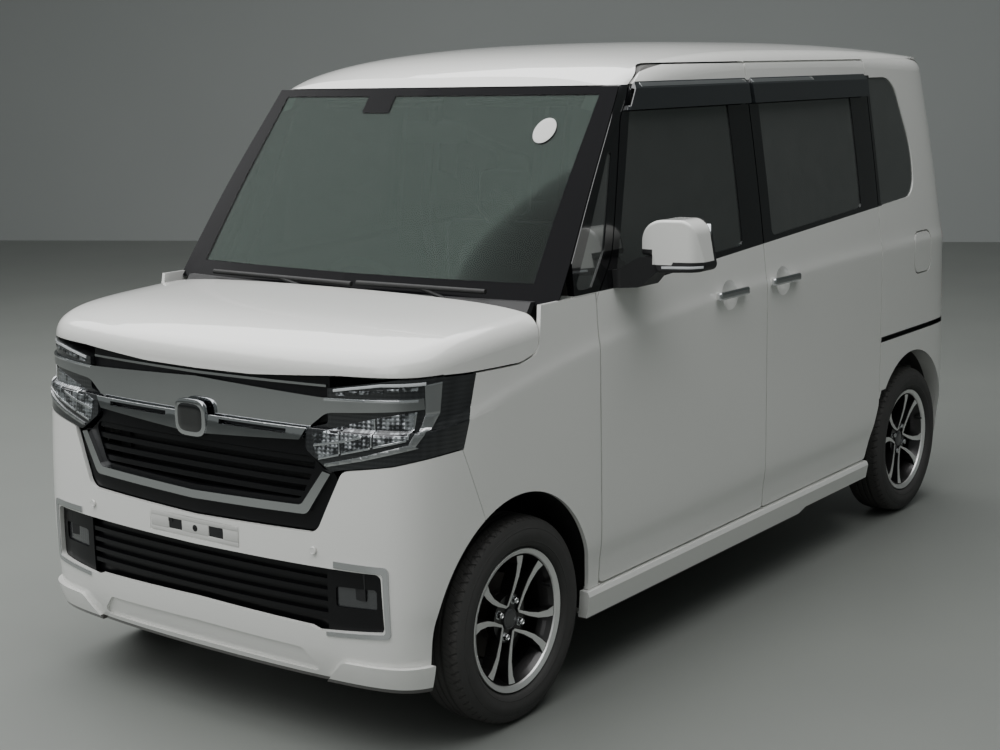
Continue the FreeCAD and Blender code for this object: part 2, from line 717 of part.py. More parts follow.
def build_nose():
    """Bonnet, wings, bumper, lamps and grille."""
    outer, under = nose_block(0.0, 0.0, 62.0), nose_block(BONNET_THICK, BONNET_THICK, 0.0)
    wall, wall_in = wall_block(), wall_block(SKIN)
    hood, grown = bonnet_region(), bonnet_region(SHUT_GAP)
    screen_clear = windscreen_face(-26.0).extrude(V(0, 2000, 0))
    PARTS["bonnet"] = whole(layer(outer, under, hood).cut(screen_clear))

    limit = lamp_side_limit()
    side_y = FRONT_ARCH_Y - 150
    seam = [(side_y, 0), (side_y, 600), (BUMPER_SEAM_TOP_Y, 786), (BUMPER_SEAM_TOP_Y, 1200)]
    region = side_prism([(-1900, 0), *seam, (-1900, 1200)], -1, 900)
    region = region.common(box(-1, 900, -1900, 0, BUMPER_BOTTOM_Z, 805))
    bumper = layer(wall, wall_in, region).cut(front_mask(front_face_outline()).common(limit))
    low_hole = [(-1, 345), (400, 338, 10), (425, 330, 10), (618, 347, 16), (612, 497, 16), (-1, 492)]
    flat = box(-1, 172, -1900, NOSE + 6, 505, 562).fuse(plate_bolt(FRONT_PLATE_Z, -1800, -1600))
    chin = front_mask([(-1, 216), (428, 212, 14), (366, 274, 14), (-1, 279)])
    bumper = bumper.cut(layer(wall_block(-1.0), wall_block(8.0), chin))
    foot = front_mask([(446, 190), (760, 190), (760, 258), (500, 258, 30), (432, 190)])
    bumper = bumper.fuse(layer(wall_block(-12.0), wall_block(5.0), foot.common(region)))
    PARTS["front_bumper"] = whole(bumper.cut(front_mask(low_hole)).cut(flat).cut(arch(FRONT_ARCH_Y)))

    behind = side_prism([(y + 2, z) for y, z in seam] + [(-860, 1200), (-860, 0)], 200, 900)
    region = behind.common(box(500, 900, -1700, FRONT_DOOR_Y - SHUT_GAP, DOOR_BOTTOM_Z - 5, 1300))
    ahead = front_mask([(-1, 560), (760, 560), (760, 1150), (-1, 1150)]).common(limit)
    wing = layer(wall, wall_in, region.common(box(500, 900, -1900, -800, 0, COWL_Z))).cut(grown).cut(ahead)
    wing = wing.cut(arch(FRONT_ARCH_Y))
    for step in ((0, 0, 0), (0, -0.5, 0), (0, 0, -0.5)):
        wing = wing.cut(PARTS["windscreen"].translated(V(*step)))
    PARTS["front_wings"] = pair(wing)

    lamp = layer(outer, wall_block(60.0), front_mask(LAMP_OUTLINE).common(limit)).cut(grown)
    fog = layer(wall_block(18.0), wall_block(60.0), front_mask(fog_outline(), y1=-1500.0))
    PARTS["headlamps"] = Part.makeCompound([lamp, mirrored(lamp), fog, mirrored(fog)])

    hole = front_mask(GRILLE_OUTLINE, y1=-1560)
    line = front_mask([(-1, 941), (436, 945), (436, 951), (-1, 948)])
    line = layer(nose_block(8.0, 7.0, 55.0), wall_block(24.0), line)
    plate = layer(nose_block(14.0, 12.0, 50.0), wall_block(34.0), hole.cut(grown)).cut(line)
    well = [(-1, 648), (368, 658, 30), (424, 770, 20), (-1, 770)]
    plate = plate.cut(front_mask(well))
    slats = joined([box(-1, 405, -1900, -1500, z, z + 14) for z in (664, 694, 724, 754)])
    reach = front_mask([(-1, 640), (378, 650, 30), (434, 780, 20), (-1, 780)])
    slats = layer(wall_block(18.0), wall_block(33.5), slats).common(reach)
    PARTS["grille"] = whole(plate.fuse(slats))

    back = front_mask([(-1, 320), (632, 320), (632, 512), (-1, 512)])
    back = layer(wall_block(30.0), wall_block(40.0), back)
    fins = joined([box(-1, 470, -1900, -1500, z, z + 12) for z in (362, 392, 422, 452)])
    fins = layer(wall_block(16.0), wall_block(31.0), fins)
    pods = layer(wall_block(13.0), wall_block(31.0), box(448, 622, -1900, -1500, 330, 506))
    lower = joined([back, fins, pods]).cut(front_mask(fog_outline(SEAT_GAP), y1=-1500.0))
    PARTS["lower_grille"] = whole(lower)

    bar = layer(wall_block(-5.0), wall_block(13.7), front_mask(BAR_OUTLINE, y1=-1560.0))
    bar = bar.cut(lamp.common(box(300, 900, -1900, -1200, 700, 1000)))
    bar = bar.cut(front_mask([(101, 824), (332, 824), (332, 836), (101, 836)]))
    u_frame = front_mask([(-1, 615), (398, 626, 26), (470, 735), (446, 740), (380, 648, 22), (-1, 637)])
    u_frame = layer(wall_block(0.0), wall_block(13.7), u_frame)
    bezel = layer(wall_block(-3.0), wall_block(-SEAT_GAP), front_mask(BEZEL_OUTLINE))
    strips = [whole(bar), whole(u_frame), whole(line), bezel, mirrored(bezel)]
    PARTS["chrome_trim"] = Part.makeCompound(strips)
    for strip in strips[:3]:
        for shift in (0.0, 0.5):
            PARTS["grille"] = PARTS["grille"].cut(strip.translated(V(0, shift, 0)))


def wheel_centre(front):
    """The middle of a left wheel."""
    return (TRACK / 2, FRONT_AXLE_Y if front else REAR_AXLE_Y, TYRE_RADIUS)


def tyre(centre):
    """A tyre with bulged walls and rounded shoulders."""
    half, tread, bead = TYRE_WIDTH / 2, TYRE_WIDTH / 2 - 18, RIM_WIDTH / 2 - 8
    profile = [
        (-bead, BEAD_RADIUS + 0.3, 4), (-bead, RIM_RADIUS + 1), (-half + 6, 205, 16), (-half, 235, 40),
        (-tread - 4, TYRE_RADIUS - 5, 22), (-tread * 0.5, TYRE_RADIUS), (tread * 0.5, TYRE_RADIUS),
        (tread + 4, TYRE_RADIUS - 5, 22), (half, 235, 40), (half - 6, 205, 16), (bead, RIM_RADIUS + 1),
        (bead, BEAD_RADIUS + 0.3, 4),
    ]
    return revolved(profile, centre)


# A spoke's middle line: radius, angle from the middle of its pair, half width
SPOKE = [
    (37.0, 2.0, 4.5), (56.0, 18.0, 4.5), (78.0, 26.0, 5.5), (114.0, 30.0, 7.0), (150.0, 29.5, 9.5),
    (BEAD_RADIUS + 4, 27.0, 15.0),
]


def spoke(angle, side):
    """One leg of a V shaped pair in the wheel's plane, on one side of the pair's middle."""

    def at(radius, turn, half):
        turn = math.radians(angle + side * turn)
        c, s = math.cos(turn), math.sin(turn)
        return (radius * c - half * s, radius * s + half * c)

    near = [at(r, t, -h) for r, t, h in SPOKE]
    far = [at(r, t, h) for r, t, h in reversed(SPOKE)]
    return near + far


def rim(centre):
    """An alloy wheel: barrel, set back hub and V shaped pairs of spokes."""
    cx, cy, cz = centre
    h = RIM_WIDTH / 2
    inside = [
        (-h, RIM_RADIUS - 1, 2), (-h, RIM_RADIUS - 14, 3), (-h + 14, BEAD_RADIUS - 8, 6), (-h + 42, 152, 8),
        (h - 50, 160, 8), (h - 26, BEAD_RADIUS - 8, 6), (h - 6, RIM_RADIUS - 16, 3), (h, RIM_RADIUS - 2, 2),
    ]
    outside = [
        (h - 7, RIM_RADIUS, 2), (h - 7.6, BEAD_RADIUS, 2), (h - 26, BEAD_RADIUS - 1, 4), (h - 46, 167, 6),
        (-h + 42, 159, 6), (-h + 24, BEAD_RADIUS - 1, 4), (-h + 7.6, BEAD_RADIUS, 2), (-h + 7, RIM_RADIUS, 2),
    ]
    barrel = revolved(inside + outside, centre)
    reach = BEAD_RADIUS - 5
    profile = [
        (h - 64, 0), (h - 64, 72, 8), (h - 46, reach), (h - 10, reach), (h - 28, 34), (h - 28, 0),
    ]
    dish = revolved(profile, centre)
    legs = []
    for k in range(SPOKE_PAIRS):
        for side in (-1, 1):
            points = spoke(SPOKE_START + 360.0 / SPOKE_PAIRS * k, side)
            wire = Part.makePolygon([V(cx - 80, cy + a, cz + b) for a, b in [*points, points[0]]])
            legs.append(Part.Face(wire).extrude(V(200, 0, 0)))
    star = dish.common(joined(legs))
    hub = rod((cx + h - 60, cy, cz), (cx + h - 34, cy, cz), 66)
    return barrel.fuse(star).fuse(hub)


def drilled(wheel, centre):
    """A wheel with its holes for the wheel bolts."""
    cx, cy, cz = centre
    for k in range(LUG_COUNT):
        turn = math.radians(65 + 360.0 / LUG_COUNT * k)
        y, z = cy + LUG_CIRCLE / 2 * math.cos(turn), cz + LUG_CIRCLE / 2 * math.sin(turn)
        wheel = wheel.cut(rod((cx - 90, y, z), (cx + 120, y, z), LUG_HOLE_RADIUS))
    return wheel


def brake(centre, drum):
    """The brake disc or drum behind the wheel."""
    cx, cy, cz = centre
    if drum:
        return rod((cx - 60, cy, cz), (cx + 2, cy, cz), 105)
    hat = rod((cx - 32, cy, cz), (cx + 2, cy, cz), 68)
    return hat.fuse(rod((cx - 32, cy, cz), (cx - 18, cy, cz), 115))


def build_wheels():
    """Tyres, rims with their brake discs or drums."""
    first = wheel_centre(True)
    front_rim = rim(first)
    for end, front in (("front", True), ("rear", False)):
        centre = wheel_centre(front)
        left_tyre = tyre(centre)
        shifted = front_rim.translated(V(*centre) - V(*first))
        left_rim = drilled(shifted.fuse(brake(centre, not front)), centre)
        for side, turn in (("left", lambda s: s), ("right", mirrored)):
            PARTS[f"tyre_{end}_{side}"] = turn(left_tyre)
            PARTS[f"wheel_{end}_{side}"] = turn(left_rim)


def build_running_gear():
    """Knuckles, axles, suspension, engine, tank and exhaust."""
    wx, wy, wz = wheel_centre(True)
    stub = rod((wx - 120, wy, wz), (wx - 32.5, wy, wz), 34)
    arm = box(wx - 75, wx - 45, wy - 22, wy + 22, wz - 75, wz + 115)
    arm = arm.fuse(box(STRUT_X - 24, wx - 60, wy - 22, wy + 22, wz + 85, wz + 115))
    lug = rod((KINGPIN_X, wy, wz - 120.5), (KINGPIN_X, wy, wz - 40), 9.5)
    steer = box(wx - 100, wx - 60, wy + 10, wy + 120, wz - 40, wz - 24)
    caliper = box(wx - 62, wx - 6, wy + 72, wy + 118, wz - 45, wz + 60).cut(
        rod((wx - 34.5, wy, wz), (wx - 15.5, wy, wz), 119)).cut(rod((wx - 80, wy, wz), (wx, wy, wz), 72))
    bracket = box(wx - 75, wx - 50, wy, wy + 100, wz - 20, wz + 20)
    knuckle = joined([stub, arm, lug, steer, bracket, caliper])
    PARTS["knuckle_left"] = knuckle
    PARTS["knuckle_right"] = mirrored(knuckle)

    strut = rod((STRUT_X, wy, wz + 115.5), (STRUT_X, wy, STRUT_TOP_Z), 20)
    strut = strut.fuse(rod((STRUT_X, wy, 580), (STRUT_X, wy, 770), 58))
    outline = [
        (KINGPIN_X + 16, wy - 22, 10), (KINGPIN_X + 16, wy + 22, 10), (300, wy + 150, 20),
        (270, wy + 150, 20), (270, wy - 40, 20), (300, wy - 40, 20),
    ]
    lower = plan_prism(outline, wz - 140, wz - 121)
    cross = box(-330, 330, wy - 40, wy + 205, wz - 135, ENGINE_Z[0])
    rack = rod((-420, wy + 185, ENGINE_Z[0] + 13), (420, wy + 185, ENGINE_Z[0] + 13), 18)
    carrier = joined([cross, lower, mirrored(lower), rack])
    PARTS["front_suspension"] = Part.makeCompound([carrier, strut, mirrored(strut)])

    rx, ry, rz = wheel_centre(False)
    beam = box(-430, 430, ry - 260, ry - 190, rz - 40, rz + 20)
    trail = box(430, 480, ry - 360, ry + 30, rz - 45, rz + 15)
    hub = rod((470, ry, rz - 10), (rx - 60.5, ry, rz - 10), 36)
    damper = rod((500, ry + 10, rz), (500, ry + 60, REAR_DAMPER_TOP_Z), 24)
    coil = rod((400, ry - 225, rz + 15), (400, ry - 225, REAR_FLOOR_Z - 0.3), 45)
    half = joined([beam, trail, hub, damper, coil])
    PARTS["rear_axle"] = half.fuse(mirrored(half))

    x0, x1 = -RAIL_IN, RAIL_IN
    PARTS["engine_block"] = box(x0, x1, -1350, -1060, *ENGINE_Z)
    rail = box(RAIL_IN, RAIL_IN + 62, -1610, -1000.5, 420, 500)
    apron = box(RAIL_IN + 50, RAIL_IN + 62, -1520, -1000.5, 420, STRUT_TOP_Z + 12)
    shelf = box(RAIL_IN + 50, 640, wy - 75, wy + 95, STRUT_TOP_Z, STRUT_TOP_Z + 12)
    post = box(RAIL_IN, RAIL_IN + 40, -1610, -1560, 240, 740)
    upper = box(-480, 480, -1610, -1580, 740, 780)
    beam = box(-560, 560, -1650, -1610, 420, 490)
    sill = box(-RAIL_IN - 40, RAIL_IN + 40, -1600, -1540, 215, 240)
    core = box(-RAIL_IN, RAIL_IN, -1600, -1565, 240, 740)
    half = joined([rail, apron, shelf, post])
    frame = joined([half, mirrored(half), upper, beam, sill, core])
    for piece in (*PARTS["headlamps"].Solids, PARTS["lower_grille"]):
        frame = frame.cut(piece).cut(piece.translated(V(0, 0.8, 0)))
    PARTS["front_frame"] = max(frame.Solids, key=lambda solid: solid.Volume)
    PARTS["fuel_tank"] = softened(box(-330, 420, -420, 330, 165, FLOOR_Z - 0.3), 18)
    pipe = rod((-400, -1000, 188), (-400, 1420, 188), 24)
    muffler = softened(box(-436, -156, 1400, 1590, 165, 285), 40)
    hanger = box(-310, -290, 1490, 1510, 275, REAR_FLOOR_Z - 0.3)
    PARTS["exhaust"] = joined([pipe, muffler, hanger, rod((-380, 1570, 215), (-380, 1635, 172), 20)])


def liner(y, x0, x1, half_only):
    """A thin arch over a wheel with legs down to the floor."""
    r = LINER_RADIUS
    ring = arch(y, radius=r + LINER_THICK, x0=x0, x1=x1).cut(arch(y, radius=r, x0=x0 - 9, x1=x1 + 9))
    inner = arch(y, radius=r + LINER_THICK, x0=x0, x1=x0 + LINER_THICK)
    shell = ring if half_only else ring.fuse(inner)
    return shell.common(box(0, 900, y - 400, y + 400, FLOOR_Z, 900))


def build_floor():
    """Floor pan with rear wheel boxes, bulkhead and wheel arch liners."""
    z = FLOOR_Z
    t, rear = FLOOR_THICK, REAR_FLOOR_Z
    below = [(-980, z), (860, z), (945, rear), (1575, rear)]
    above = [(1575, rear + t), (940, rear + t), (855, z + t), (-980, z + t)]
    floor = side_prism(below + above, -641.5, 641.5)
    dish = Part.makeCylinder(LINER_RADIUS + 14, 191, V(450, REAR_ARCH_Y, ARCH_Z), V(1, 0, 0))
    void = Part.makeCylinder(LINER_RADIUS + 2, 190, V(462, REAR_ARCH_Y, ARCH_Z), V(1, 0, 0))
    void = void.fuse(box(462, 652, REAR_ARCH_Y - LINER_RADIUS - 2, REAR_ARCH_Y + LINER_RADIUS + 2, 0, ARCH_Z))
    floor = floor.fuse([dish, mirrored(dish)]).cut(void).cut(mirrored(void))
    floor = floor.common(box(-642, 642, -980, 1575, FLOOR_Z, 700))
    for x0 in (400, -650):
        floor = floor.cut(box(x0, x0 + 250, 1550, 1600, TAILGATE_BOTTOM_Z - 12, 720))
    axle_y, axle_z = REAR_AXLE_Y, TYRE_RADIUS
    passage = box(440, 485, axle_y - 365, axle_y + 35, 0, axle_z + 20)
    floor = floor.cut(passage).cut(mirrored(passage))
    front_cut = arch(FRONT_ARCH_Y, radius=LINER_RADIUS + 8, x0=400)
    front_cut = front_cut.fuse(mirrored(front_cut))
    floor = floor.cut(front_cut)
    for side, turn in (("left", -1), ("right", 1)):
        floor = floor.cut(PARTS[f"body_side_{side}"].translated(V(turn * 0.8, 0, 0)))
    PARTS["floor_pan"] = floor

    wall = box(-641.5, 641.5, -1000, -980.3, FLOOR_Z, 1060)
    cowl = side_prism([(-1072, 1010), (-1000, 1010), (-1000, 1060), (-1030, 1084), (-1064, 1084)], -640, 640)
    gap = windscreen_face(-22.0).extrude(V(0, 21.5, 0)).common(box(-1, 655, -1900, 0, 1050, COWL_Z - 4))
    cover = whole(gap)
    bulkhead = wall.fuse(cowl).cut(front_cut)
    for step in ((0, 0, 0), (0, 0.5, 0), (0, 0, -0.5)):
        bulkhead = bulkhead.cut(cover.translated(V(*step)))
    pivots = joined([rod(foot, tip, 7) for foot, tip in WIPER_ARMS])
    PARTS["bulkhead"] = bulkhead.cut(pivots)
    PARTS["cowl_cover"] = cover.cut(pivots)

    arch_skin = liner(FRONT_ARCH_Y, 404.5, 722, False)
    strut_hole = box(455, 660, FRONT_AXLE_Y - 75, FRONT_AXLE_Y + 90, 500, 700)
    rack_y, rack_z = FRONT_AXLE_Y + 185, ENGINE_Z[0] + 13
    rack_hole = rod((390, rack_y, rack_z), (440, rack_y, rack_z), 20)
    beside_skirt = box(695, 800, -960, -860, 190, DOOR_BOTTOM_Z)
    arch_skin = arch_skin.cut(joined([strut_hole, rack_hole, beside_skirt])).common(wall_block(SKIN + 1.0))
    PARTS["wheel_liners"] = pair(arch_skin.cut(PARTS["lower_grille"]))


def door_mirror():
    """A door mirror: a rounded shell on an arm that stands on the door at the foot of its window."""
    low, high = MIRROR_Z
    face = [
        (776, low + 44, 8), (776, high, 62), (926, high, 50), (951, low, 18), (820, low - 4, 14),
        (806, low + 44, 6),
    ]
    plan = [(760, -598), (768, -706), (800, -712, 60), (925, -684, 40), (958, -640), (958, -590)]
    shell = front_prism(face, -730, -580).common(plan_prism(plan, 1100, 1310))
    shell = shell.makeFillet(8, [e for e in shell.Edges if e.BoundBox.YMax < -620])
    face = [
        (700, 1109), (785, 1109, 14), (822, low - 2, 8), (822, low + 41), (784, low + 41, 20),
        (738, low + 8, 30), (700, low + 4),
    ]
    plan = [(700, -772), (742, -768, 20), (822, -700), (822, -636), (700, -636)]
    arm = front_prism(face, -780, -630).common(plan_prism(plan, 1100, 1310))
    return shell.fuse(arm).cut(wall_block(-SEAT_GAP))


def build_trim():
    """Side skirts, mirrors and wipers."""
    section = [(690, 204), (700, 194, 4), (727, 196, 6), (739, 262, 4), (733, 276, 3), (700, 277), (690, 262)]
    skirt = front_prism(section, -925, 905).cut(wall_block(SKIN + 6.0 - 2 * SEAT_GAP))
    skirt = skirt.cut(side_prism([(340, 190), (905, 190), (905, 214), (420, 214)], 600, 900))
    PARTS["side_skirts"] = pair(skirt)

    PARTS["door_mirror"] = door_mirror()

    blade = rod((-520, -1085, 1118), (60, -1108, 1118), 7)
    second = rod((80, -1106, 1122), (520, -1084, 1122), 7)
    arm, other = [rod(foot, tip, 6) for foot, tip in WIPER_ARMS]
    PARTS["wipers"] = Part.makeCompound([blade.fuse(arm), second.fuse(other)])


def build_inside():
    """Seats, dashboard and steering wheel."""
    low = FLOOR_Z + FLOOR_THICK + SEAT_GAP
    base = softened(box(70, 560, -420, 60, 330, 640), 40)
    back = softened(box(80, 550, 60, 190, 520, 1180), 45)
    head = softened(box(210, 420, 90, 175, 1195, 1360), 30)
    posts = joined([rod((x, 130, 1150), (x, 130, 1230), 6) for x in (260, 370)])
    PARTS["front_seats"] = pair(joined([base, back, head, posts, box(90, 540, -380, 40, low, 370)]))

    base = softened(box(40, 560, 540, 960, 360, 620), 40)
    back = softened(box(40, 560, 940, 1050, 480, 1120), 40)
    head = softened(box(200, 400, 950, 1030, 1130, 1290), 28)
    posts = joined([rod((x, 990, 1090), (x, 990, 1160), 6) for x in (250, 350)])
    seat = joined([base, back, head, posts, box(80, 520, 580, 840, low, 400)])
    house = Part.makeCylinder(LINER_RADIUS + 15, 300, V(449, REAR_ARCH_Y, ARCH_Z), V(1, 0, 0))
    PARTS["rear_seats"] = pair(seat.cut(house))

    centre, tilt = V(-330, -560, 960), V(0, -0.8645, -0.5026)
    column = Part.makeCylinder(22, 235, centre, tilt)
    outline = [
        (-980, 640, 30), (-770, 640, 60), (-700, 760, 60), (-740, 960, 50), (-840, 1060, 40), (-980, 1085),
    ]
    dash = side_prism(outline, -600, 600)
    PARTS["dashboard"] = dash.cut(Part.makeCylinder(22.6, 400, centre, tilt))
    ring = Part.makeTorus(178, 15, centre, tilt)
    boss = Part.makeCylinder(60, 50, centre - tilt * 10, tilt)
    across = rod((-330 - 175, -560, 960), (-330 + 175, -560, 960), 11)
    PARTS["steering_wheel"] = joined([ring, boss, across, column])


def main():
    """Build every piece and write one STEP file for each."""
    build_body()
    build_nose()
    build_wheels()
    build_running_gear()
    build_floor()
    build_trim()
    build_inside()
    PARTS["side_visors"] = pair(PARTS["side_visors"])
    for name in ("front_door", "sliding_door", "front_door_glass", "front_door_visor", "door_mirror"):
        left = PARTS.pop(name)
        PARTS[f"{name}_left"] = left
        PARTS[f"{name}_right"] = mirrored(left)
    os.makedirs("parts", exist_ok=True)
    for name, shape in PARTS.items():
        shape.exportStep(f"parts/{name}.step")
        print(name, len(shape.Solids), round(shape.Volume / 1e6, 2), shape.isValid())


main()
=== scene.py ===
"""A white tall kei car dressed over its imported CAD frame.

Sizes are written in millimetres and turned into metres where Blender needs them. X runs across the
car with its left side at +X, Y runs from nose to tail, and Z is up from the ground.
"""

import json
import logging
import math
from contextlib import contextmanager
from dataclasses import dataclass, field
from enum import Enum
from typing import Callable, Iterable, Iterator, Optional, Sequence, Union

import bpy
from mathutils import Matrix, Vector

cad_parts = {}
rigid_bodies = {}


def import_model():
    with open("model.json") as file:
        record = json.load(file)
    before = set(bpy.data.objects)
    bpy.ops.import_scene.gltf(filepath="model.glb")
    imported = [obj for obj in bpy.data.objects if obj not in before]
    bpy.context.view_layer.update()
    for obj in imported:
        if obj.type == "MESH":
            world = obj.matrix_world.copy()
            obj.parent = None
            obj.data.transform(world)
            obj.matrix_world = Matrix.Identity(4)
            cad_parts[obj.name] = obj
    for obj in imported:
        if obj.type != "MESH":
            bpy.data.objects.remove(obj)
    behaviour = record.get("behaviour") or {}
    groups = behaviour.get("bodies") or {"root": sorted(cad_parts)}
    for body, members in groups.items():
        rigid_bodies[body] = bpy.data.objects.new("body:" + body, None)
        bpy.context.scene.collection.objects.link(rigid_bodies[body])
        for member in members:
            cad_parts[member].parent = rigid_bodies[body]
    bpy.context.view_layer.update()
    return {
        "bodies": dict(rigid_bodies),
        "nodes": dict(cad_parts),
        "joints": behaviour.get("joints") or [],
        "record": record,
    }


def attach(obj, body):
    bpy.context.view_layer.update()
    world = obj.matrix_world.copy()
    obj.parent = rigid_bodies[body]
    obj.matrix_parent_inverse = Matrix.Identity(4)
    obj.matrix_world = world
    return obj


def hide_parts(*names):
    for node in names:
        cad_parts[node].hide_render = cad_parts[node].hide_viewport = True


LOG = logging.getLogger("kei_car")
MM = 0.001
# A projected point this near its start, in metres, found nothing to lie on
MISSED = 0.02
# The smallest radius of a turned ring, in millimetres
TIP = 0.05

Point = tuple[float, float, float]
Corner = tuple[float, float]
Line = Sequence[Corner]
Number = Union[int, float]
Value = Union["Signal", int, float]
Piece = bpy.types.Object
Skin = bpy.types.Material


class Face(Enum):
    """The side of the car that a flat outline is drawn on.

    Each has the axis that it looks along, a depth clear of the car and a sheet's turn in degrees.
    """

    FRONT = (1, -1900.0, (90, 0, 0))
    REAR = (1, 1900.0, (90, 0, 180))
    LEFT = (0, 950.0, (90, 0, 90))

    def __init__(self, axis: int, far: float, turn: Point) -> None:
        """Name the three values."""
        self.axis = axis
        self.far = far
        self.turn = tuple(math.radians(a) for a in turn)


class Side(Enum):
    """Left or right half of the car, with its sign along X."""

    LEFT = 1
    RIGHT = -1

    @property
    def word(self) -> str:
        """The side's name as used in node names."""
        return self.name.lower()


# Shader maths


class Signal:
    """A shader socket that takes part in ordinary arithmetic."""

    def __init__(self, desk: "Desk", socket: bpy.types.NodeSocket) -> None:
        """Keep the socket and the desk that its nodes are made on."""
        self.desk = desk
        self.socket = socket

    def _maths(self, operation: str, *values: Value, clamp: bool = False) -> "Signal":
        """Add one Math node.

        Args:
            operation: the Math node's operation.
            values: its inputs in order.
            clamp: whether the result is kept between 0 and 1.

        Returns:
            The node's result.
        """
        settings = {"operation": operation, "use_clamp": clamp}
        return self.desk.node("ShaderNodeMath", settings, dict(enumerate(values)))

    def __add__(self, other: Value) -> "Signal":
        """Sum."""
        return self._maths("ADD", self, other)

    def __radd__(self, other: Number) -> "Signal":
        """Sum with a number first."""
        return self._maths("ADD", other, self)

    def __sub__(self, other: Value) -> "Signal":
        """Difference."""
        return self._maths("SUBTRACT", self, other)

    def __rsub__(self, other: Number) -> "Signal":
        """Difference from a number."""
        return self._maths("SUBTRACT", other, self)

    def __mul__(self, other: Value) -> "Signal":
        """Product."""
        return self._maths("MULTIPLY", self, other)

    def __rmul__(self, other: Number) -> "Signal":
        """Product with a number first."""
        return self._maths("MULTIPLY", other, self)

    def size(self) -> "Signal":
        """Distance from zero."""
        return self._maths("ABSOLUTE", self)

    def over(self, limit: Value, blur: float = 0.0012) -> "Signal":
        """A mask that is 1 where this is larger than the limit, with a narrow soft edge."""
        return self._maths("MULTIPLY_ADD", self - limit, 1.0 / blur, 0.5, clamp=True)

    def under(self, limit: Value, blur: float = 0.0012) -> "Signal":
        """A mask that is 1 where this is smaller than the limit."""
        return 1.0 - self.over(limit, blur)

    def between(self, low: Value, high: Value, blur: float = 0.0012) -> "Signal":
        """A mask that is 1 between two limits."""
        return self.over(low, blur) * self.under(high, blur)

    def either(self, other: Value) -> "Signal":
        """The larger of two masks or values."""
        return self._maths("MAXIMUM", self, other)

    def wave(self, length: float) -> "Signal":
        """A triangle wave from 0 to 1 that repeats every length."""
        return self._maths("PINGPONG", self * (1.0 / length), 0.5) * 2.0


class Desk:
    """One material and its nodes."""

    def __init__(self, name: str) -> None:
        """Start an empty material."""
        self.material = bpy.data.materials.new(name)
        self.material.use_nodes = True
        self.tree = self.material.node_tree
        self.tree.nodes.clear()
        self.place = self.node("ShaderNodeTexCoord", {}, {}, "Object")
        parts = self.tree.nodes.new("ShaderNodeSeparateXYZ")
        self.tree.links.new(self.place.socket, parts.inputs[0])
        self.x, self.y, self.z = (Signal(self, parts.outputs[i]) for i in range(3))

    def node(self, kind: str, settings: dict, values: dict, output: Union[int, str] = 0) -> Signal:
        """Add any node.

        Args:
            kind: the node's type.
            settings: properties that are set first.
            values: socket names or places with the values or signals for them.
            output: the output that is wanted.

        Returns:
            That output.
        """
        made = self.tree.nodes.new(kind)
        for key, value in settings.items():
            setattr(made, key, value)
        for key, value in values.items():
            if isinstance(value, Signal):
                self.tree.links.new(value.socket, made.inputs[key])
            else:
                made.inputs[key].default_value = value
        return Signal(self, made.outputs[output])

    def noise(self, scale: float, detail: float = 2.0) -> Signal:
        """Soft random variation from 0 to 1, with scale in waves a metre."""
        values = {"Vector": self.place, "Scale": scale, "Detail": detail}
        return self.node("ShaderNodeTexNoise", {}, values, "Fac")

    def mixed(self, share: Signal, first: "Signal | tuple", second: "Signal | tuple") -> Signal:
        """Mix two colours by a mask."""
        made = self.tree.nodes.new("ShaderNodeMix")
        made.data_type = "RGBA"
        self.tree.links.new(share.socket, made.inputs[0])
        for index, value in ((6, first), (7, second)):
            if isinstance(value, Signal):
                self.tree.links.new(value.socket, made.inputs[index])
            else:
                made.inputs[index].default_value = (*value[:3], 1.0)
        return Signal(self, made.outputs[2])

    def bump(self, height: Signal, depth: float) -> Signal:
        """A surface relief of a depth in metres."""
        values = {"Height": height, "Distance": depth, "Strength": 1.0}
        return self.node("ShaderNodeBump", {}, values, "Normal")

    def radius(self, y: float, z: float) -> Signal:
        """Distance from a line along X through a point."""
        a, b = self.y - y, self.z - z
        return self.node("ShaderNodeMath", {"operation": "SQRT"}, {0: a * a + b * b})

    def turn(self, y: float, z: float) -> Signal:
        """Angle about a line along X through a point."""
        return self.node("ShaderNodeMath", {"operation": "ARCTAN2"}, {0: self.z - z, 1: self.y - y})

    def surface(self, **values: "Signal | tuple | Number") -> Signal:
        """A Principled surface, with spaces in socket names written as underscores."""
        named = {}
        for key, value in values.items():
            if key == "Base_Color" and not isinstance(value, Signal):
                value = (*value[:3], 1.0)
            named[key.replace("_", " ")] = value
        return self.node("ShaderNodeBsdfPrincipled", {}, named, "BSDF")

    def dressed(self, **values: "Signal | tuple | Number") -> Skin:
        """A material that is one Principled surface."""
        return self.done(self.surface(**values))

    def done(self, shader: Signal) -> Skin:
        """Send a shader to the output."""
        out = self.tree.nodes.new("ShaderNodeOutputMaterial")
        self.tree.links.new(shader.socket, out.inputs["Surface"])
        return self.material


# Finishes


